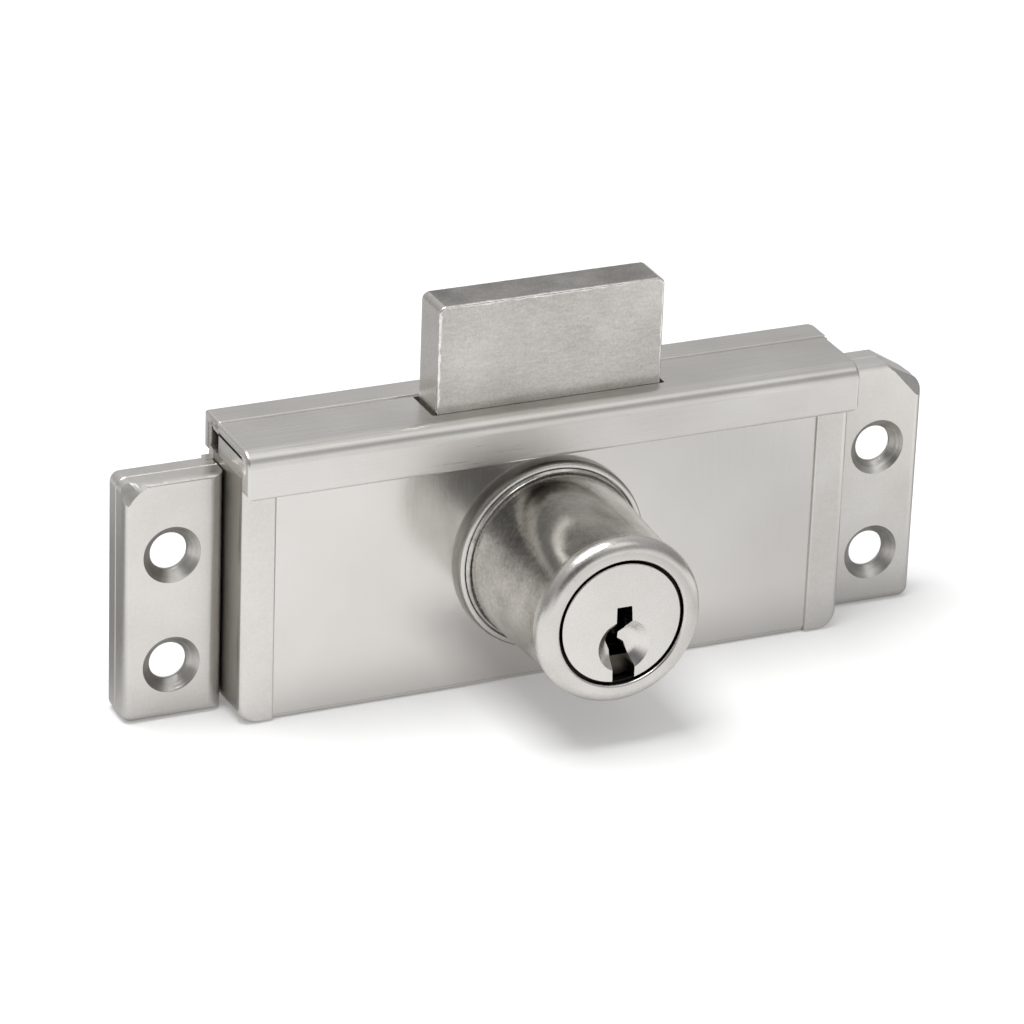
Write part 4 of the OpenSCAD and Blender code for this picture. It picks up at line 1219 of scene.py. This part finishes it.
@dataclass
class Plug(Assembly):
    """Turning core with its keyway, wafer slots and square tail."""

    at: Layout
    body = "plug"
    r: float = 7.95
    face_r: float = 7.82
    face_h: float = 32.3
    shoulder_h: float = 31.4
    back_h: float = 11.45
    neck_r: float = 4.0
    neck_back_h: float = 9.5
    clip_h: Point = (9.6, 10.1)
    clip_groove: float = 0.6
    tail_w: float = 3.8
    tail_back_h: float = 3.9
    tail_edge_r: float = 0.2
    edge_r: float = 0.18
    keyway_back_h: float = 16.25
    keyway_rim_r: float = 0.07
    keyway_x: Point = (-1.75, 2.05)
    keyway_top_z: float = 2.15
    dimple: tuple[float, float, float] = (0.45, -3.1, 3.4)  # x, z from the axis, and radius
    dimple_depth: float = 1.35
    dimple_flat: float = 0.55
    dimple_round: float = 2.0
    wafer_h: float = 30.25
    wafer_pitch: float = 2.4
    wafer_t: float = 0.8
    wafer_half_w: float = 4.26
    wafer_play: float = 0.06
    slot_reach: float = 9.0
    lug_x: float = 6.4
    lug_z: Point = (0.9, 3.35)
    pocket: tuple[float, float, float] = (5.45, 0.85, -3.2)  # x, radius, floor from the axis
    pocket_top: float = 1.0
    gap_skin: float = 0.05
    keyway_skin: float = 0.1
    gap_face_skin: float = 0.16

    def build(self) -> None:
        """Build the plug as one piece."""
        at = self.at
        groove = self.neck_r - self.clip_groove
        plug = Shape().lathe(turned(
            (self.neck_r, self.neck_back_h), (self.neck_r, self.clip_h[0]),
            (groove, self.clip_h[0]), (groove, self.clip_h[1]), (self.neck_r, self.clip_h[1]),
            (self.neck_r, self.back_h), (self.r, self.back_h), (self.r, self.shoulder_h),
            (self.face_r, self.shoulder_h), (self.face_r, self.face_h, self.edge_r)),
            at.axis_z).solid("plug_core")
        half = self.tail_w / 2
        combine(plug, block("tail", (-half, at.axis_z - half), (half, at.axis_z + half),
                            rounded(self.tail_back_h, self.neck_back_h + OVER / 2,
                                    self.tail_edge_r, 0)), "UNION")
        combine(plug, self._wafer_cuts())
        x, z, r = self.dimple
        floor_h = self.face_h - self.dimple_depth
        combine(plug, Shape().lathe(turned(
            (r * self.dimple_flat, floor_h, self.dimple_round), (r, self.face_h),
            (r + OVER / 2, self.face_h + OVER)), at.axis_z + z, x, BORE_STEPS).solid("dimple"))
        keyway = trace([(u, v + at.axis_z) for u, v in self._keyway()])
        combine(plug, Shape().loft(Plane.FRONT, keyway, flared(
            self.keyway_back_h + OVER, self.face_h, 0,
            self.keyway_rim_r)).solid("keyway"))
        # Painted shade: the keyway walls and the ring gap round the plug get near black
        paint(plug, 1, self._in_painted_shade)
        self.dress(plug, "plug", "plug_face", PLUG_FACE, SHADED_GAP)

    def _in_painted_shade(self, centre: Vector) -> bool:
        """Tell whether a face lies in the keyway or in the ring gap round the plug, which get
        painted shade.
        """
        h, z = -centre.y, centre.z - self.at.axis_z
        x, dimple_z, r = self.dimple
        in_dimple = (off_axis(centre, self.at.axis_z + dimple_z, x) < r
                     and h > self.face_h - self.dimple_depth)
        in_keyway = (self.keyway_x[0] < centre.x < self.keyway_x[1] and z < self.keyway_top_z
                     and h < self.face_h - self.keyway_skin)
        in_gap = (off_axis(centre, self.at.axis_z) > self.face_r - self.gap_skin
                  and h < self.face_h - self.gap_face_skin)
        return (in_keyway and not in_dimple) or in_gap

    @staticmethod
    def _keyway() -> list[Point]:
        """Return the keyway's outline, anticlockwise, down past the plug's side."""
        return [(-0.64, 0), (-1.46, -1.2), (-1.71, -2.3), (-1, -3.9), (-0.84, -9), (2, -9),
                (1.98, -6), (0.92, -3.1), (0.1, -2.5), (0.15, -1.74), (0.85, -1.3),
                (1.44, 0.05), (1.29, 2.1), (-0.65, 2.1)]

    def _wafer_cuts(self) -> Object:
        """Return the cutters of the wafer slots, lug ways and spring pockets."""
        z = self.at.axis_z
        low, high = z - self.slot_reach, z + self.slot_reach
        half, lug, (lug_low, lug_high) = self.wafer_half_w, self.lug_x, self.lug_z
        way = trace([(-half, low), (half, low), (half, z + lug_low), (lug, z + lug_low),
                     (lug, z + lug_high), (half, z + lug_high), (half, high), (-half, high)])
        pocket_x, pocket_r, pocket_z = self.pocket
        slots, pockets = Shape(), Shape()
        for k in range(self.at.wafers):
            face = self.wafer_h - k * self.wafer_pitch
            slots.loft(Plane.FRONT, way, straight(face - self.wafer_t - self.wafer_play,
                                                  face + self.wafer_play))
            middle = self.wafer_t / 2 - face
            ring = trace([(pocket_x + pocket_r * math.cos(a), middle + pocket_r * math.sin(a))
                          for a in (math.tau * n / POCKET_STEPS for n in range(POCKET_STEPS))])
            pockets.loft(Plane.TOP, ring, straight(z + pocket_z, z + self.pocket_top))
        made = slots.solid("wafer_cuts")
        combine(made, pockets.solid("pockets"), "UNION")
        return made


@dataclass
class Bolt(Assembly):
    """Flat deadbolt with its window, rack and guide slots, and edges rubbed bright."""

    at: Layout
    body = "bolt"
    half_w: float = 15.0
    low_z: float = 1.19
    top_z: float = 36.35
    edge_r: float = 0.32
    corner_r: float = 1.0
    inner_share: float = 0.25
    tooth_share: float = 0.08
    window_left_x: float = -6.15
    window_top_z: float = 22.15
    window_r: float = 1.0
    rack_root_x: float = 5.4386
    rack_tip_x: float = 3.7507
    rack_pitch: float = 2.35667
    rack_teeth: int = 8
    tooth_tip: float = 0.2244
    tooth_root: float = 1.0114
    slot_x: float = 10.6
    slot_half_w: float = 1.6
    slot_z: Point = (3.25, 20.59)
    slot_corner_r: float = 1.4
    slot_edge_r: float = 0.15
    wear: float = 0.65
    spacing: float = 0.35
    end_skin: float = 0.01

    def build(self) -> None:
        """Build the bolt as one piece."""
        low, top, half = self.low_z, self.top_z, self.half_w
        root, tip = self.rack_root_x, self.rack_tip_x
        inner, tooth = (self.inner_share,) * 2, (self.tooth_share,) * 2
        corners = [(-half, low, 0, *inner), (self.window_left_x, low, 0, *inner),
                   (self.window_left_x, self.window_top_z, self.window_r, *inner),
                   (root, self.window_top_z, 0, *tooth)]
        for k in reversed(range(self.rack_teeth)):
            z = self.at.axis_z + k * self.rack_pitch
            corners += [(x, z + rise, 0, *tooth) for x, rise in (
                (root, self.tooth_root), (tip, self.tooth_tip), (tip, -self.tooth_tip),
                (root, -self.tooth_root))]
        corners += [(root, low, 0, *inner), (half, low), (half, top, self.corner_r),
                    (-half, top, self.corner_r)]
        back, face = self.at.bolt_back_h, self.at.bolt_face_h
        bolt = Shape().loft(Plane.FRONT, trace(corners, self.spacing), rounded(
            back, face, self.edge_r, self.edge_r), self.wear, 1).solid("deadbolt")
        slots = Shape()
        for x in (-self.slot_x, self.slot_x):
            slots.loft(Plane.FRONT, rect((x - self.slot_half_w, self.slot_z[0]),
                                         (x + self.slot_half_w, self.slot_z[1]),
                                         (self.slot_corner_r,) * 4),
                       flared(back, face, self.slot_edge_r, self.slot_edge_r))
        combine(bolt, slots.solid("slots"))
        # Painted shade: the bolt's top end gets the darker steel
        paint(bolt, 2, lambda centre: centre.z > top - self.end_skin)
        self.dress(bolt, "bolt", "bolt_steel", GROUND_STEEL, WORN_STEEL, SHADED_BOLT_TOP)


@dataclass
class KeptParts(Assembly):
    """CAD nodes whose own shape is shown: fasteners, springs, drive and wafers."""

    at: Layout

    def build(self) -> None:
        """Give each kept node its finish."""
        finishes = {name: ZINC_PLATED for name in (
            "panel_studs", "case_screws", "channel_screws", "guide_pins", "spring_rivets",
            "pinion_washer", "pinion_screw")}
        finishes |= {"rattle_spring": SPRING_STEEL, "plug_clip": SPRING_STEEL,
                     "pinion": SINTERED_STEEL}
        for k in range(1, self.at.wafers + 1):
            # Painted shade: the wafers get the darkened brass
            finishes |= {f"wafer_{k}": SHADED_WAFER_BRASS, f"wafer_spring_{k}": SPRING_STEEL}
        for name, finish in finishes.items():
            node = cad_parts[name]
            node.data.materials.clear()
            node.data.materials.append(finish.material())
            log.info("kept %s in %s", name, finish.name)


# Studio


@dataclass
class Studio:
    """White table, soft lights and the camera."""

    at: Layout
    floor_half: float = 3000.0
    eye: tuple[float, float, float] = (-265.473, -574.274, 293.492)
    right: tuple[float, float, float] = (0.913737, -0.404866, 0.034185)
    up: tuple[float, float, float] = (0.140711, 0.394252, 0.908166)
    back: tuple[float, float, float] = (-0.381163, -0.825015, 0.417211)
    lens: float = 196.12
    sensor: float = 36.0
    clip: Point = (0.01, 20.0)
    floor_glow: float = 0.19
    mirrored_glow: float = 0.2
    far_glow: float = 0.8
    far_from: Point = (200.0, 700.0)
    # Colours of the table where metal mirrors it: painted shade, darkest in the middle tone and
    # just behind the lock
    shown_tone: str = "EDEDED"
    left_tone: str = "DFDFDF"
    mid_painted_shade_tone: str = "BCBCBC"
    right_tone: str = "E8E8E8"
    middle_x: Point = (0.0, 55.0)
    right_x: Point = (55.0, 95.0)
    behind_painted_shade_tone: str = "505050"
    far_back_tone: str = "B0B0B0"
    behind_y: Point = (-24.0, 16.0)
    far_back_y: Point = (34.0, 96.0)
    sky: float = 0.5
    horizon: float = 0.62
    height_z: Point = (0.0, 0.9)
    wall_y: Point = (-0.1, 0.9)
    window_y: Point = (-0.3, -0.9)
    window_z: Point = (0.5, 0.05)
    wall_gain: float = 1.5
    window_gain: float = 0.75
    room_level: float = 0.28
    room_from: Point = (0.88, 0.96)

    def build(self) -> None:
        """Build the floor, the lights, the world and the camera."""
        self._floor()
        self._world()
        self._lights()
        self._camera()
        bpy.context.scene.view_settings.view_transform = "Standard"

    def _floor(self) -> None:
        """Lay a matt white table that stays white to the camera where it is lit; where metal
        mirrors it, its colour holds painted shade, darker right of the middle and behind the lock.
        """
        mesh = bmesh.new()
        half, z = self.floor_half * MM, self.at.floor_z * MM
        mesh.faces.new([mesh.verts.new((x * half, y * half, z))
                        for x, y in ((-1, -1), (1, -1), (1, 1), (-1, 1))])
        data = bpy.data.meshes.new("table")
        mesh.to_mesh(data)
        mesh.free()
        floor = linked("table", data)
        paper = bpy.data.materials.new("white_table_with_painted_shade_in_mirrors")
        tree = empty_tree(paper)
        seen = add(tree, "ShaderNodeLightPath").outputs["Is Camera Ray"]
        place = add(tree, "ShaderNodeNewGeometry").outputs["Position"]
        parts = add(tree, "ShaderNodeSeparateXYZ", {0: place})

        def across(socket: Socket, limits: Point) -> Socket:
            """Return a smooth step between two places on the table."""
            return ramp(tree, socket, limits[0] * MM, limits[1] * MM)

        x, y = parts.outputs["X"], parts.outputs["Y"]
        # Painted shade in reflections: darker right of the middle, dark behind the lock
        right = blend(tree, across(x, self.right_x), linear(self.mid_painted_shade_tone),
                      linear(self.right_tone))
        front = blend(tree, across(x, self.middle_x), linear(self.left_tone), right)
        back = blend(tree, across(y, self.far_back_y), linear(self.behind_painted_shade_tone),
                     linear(self.far_back_tone))
        mirrored = blend(tree, across(y, self.behind_y), front, back)
        shown = blend(tree, seen, mirrored, linear(self.shown_tone))
        diffuse = add(tree, "ShaderNodeBsdfDiffuse", {"Color": shown}).outputs[0]
        near = maths(tree, "MULTIPLY_ADD", seen, self.floor_glow - self.mirrored_glow,
                     self.mirrored_glow)
        away = across(vectors(tree, "LENGTH", place).outputs["Value"], self.far_from)
        level = maths(tree, "MULTIPLY_ADD", maths(tree, "MULTIPLY", away, seen), self.far_glow,
                      near)
        glow = add(tree, "ShaderNodeEmission", {"Color": WHITE, "Strength": level}).outputs[0]
        both = add(tree, "ShaderNodeAddShader", {0: diffuse, 1: glow}).outputs[0]
        add(tree, "ShaderNodeOutputMaterial", {"Surface": both})
        data.materials.append(paper)

    def _world(self) -> None:
        """Make a sky that is white to the camera and a soft grey studio to the object."""
        world = bpy.data.worlds.new("studio")
        bpy.context.scene.world = world
        tree = empty_tree(world)
        way = add(tree, "ShaderNodeTexCoord").outputs["Generated"]
        parts = add(tree, "ShaderNodeSeparateXYZ", {0: way}).outputs
        height = ramp(tree, parts["Z"], *self.height_z, self.horizon, 1.0)
        wall = ramp(tree, parts["Y"], *self.wall_y, self.sky, self.sky * self.wall_gain)
        window = maths(tree, "MULTIPLY", ramp(tree, parts["Y"], *self.window_y),
                       ramp(tree, parts["Z"], *self.window_z))
        level = maths(tree, "MULTIPLY_ADD", window, self.window_gain,
                      maths(tree, "MULTIPLY", height, wall))
        nearness = vectors(tree, "DOT_PRODUCT", way, self.back).outputs["Value"]
        level = maths(tree, "MULTIPLY", level,
                      ramp(tree, nearness, *self.room_from, 1.0, self.room_level))
        seen = add(tree, "ShaderNodeLightPath").outputs["Is Camera Ray"]
        white = add(tree, "ShaderNodeMix", {"Factor": seen, "A": level, "B": 1.0},
                    data_type="FLOAT").outputs["Result"]
        sky = add(tree, "ShaderNodeBackground", {"Color": WHITE, "Strength": white})
        add(tree, "ShaderNodeOutputWorld", {"Surface": sky.outputs[0]})

    def _lights(self) -> None:
        """Hang a large soft box above and a weak one at the right front, both aimed at 0."""
        for name, place, size, power in (
                ("overhead_box", (-190, 0, 880), (540, 480), 5.8),
                ("edge_box", (330, -400, 820), (420, 420), 0.35)):
            lamp = bpy.data.lights.new(name, "AREA")
            lamp.shape = "RECTANGLE"
            lamp.size, lamp.size_y = size[0] * MM, size[1] * MM
            lamp.energy = power
            hung = linked(name, lamp)
            turn = (-Vector(place)).to_track_quat("-Z", "Y").to_matrix().to_4x4()
            hung.matrix_world = Matrix.Translation(Vector(place) * MM) @ turn

    def _camera(self) -> None:
        """Stand the camera at the photograph's viewing angle."""
        data = bpy.data.cameras.new("camera")
        data.sensor_fit = "HORIZONTAL"
        data.sensor_width = self.sensor
        data.lens = self.lens
        data.clip_start, data.clip_end = self.clip
        camera = linked("camera", data)
        turn = Matrix((self.right, self.up, self.back)).transposed().to_4x4()
        camera.matrix_world = Matrix.Translation(Vector(self.eye) * MM) @ turn
        bpy.context.scene.camera = camera


def main() -> None:
    """Build the lock's pieces in order, then the studio."""
    logging.basicConfig(level=logging.INFO, format="%(message)s")
    at = Layout()
    for part in (MountingBase(at), CaseShell(at), FrontPanel(at), TopChannel(at), Cylinder(at),
                 Plug(at), Bolt(at), KeptParts(at), Studio(at)):
        part.build()
        log.info("built %s", type(part).__name__)


if __name__ == "__main__":
    main()
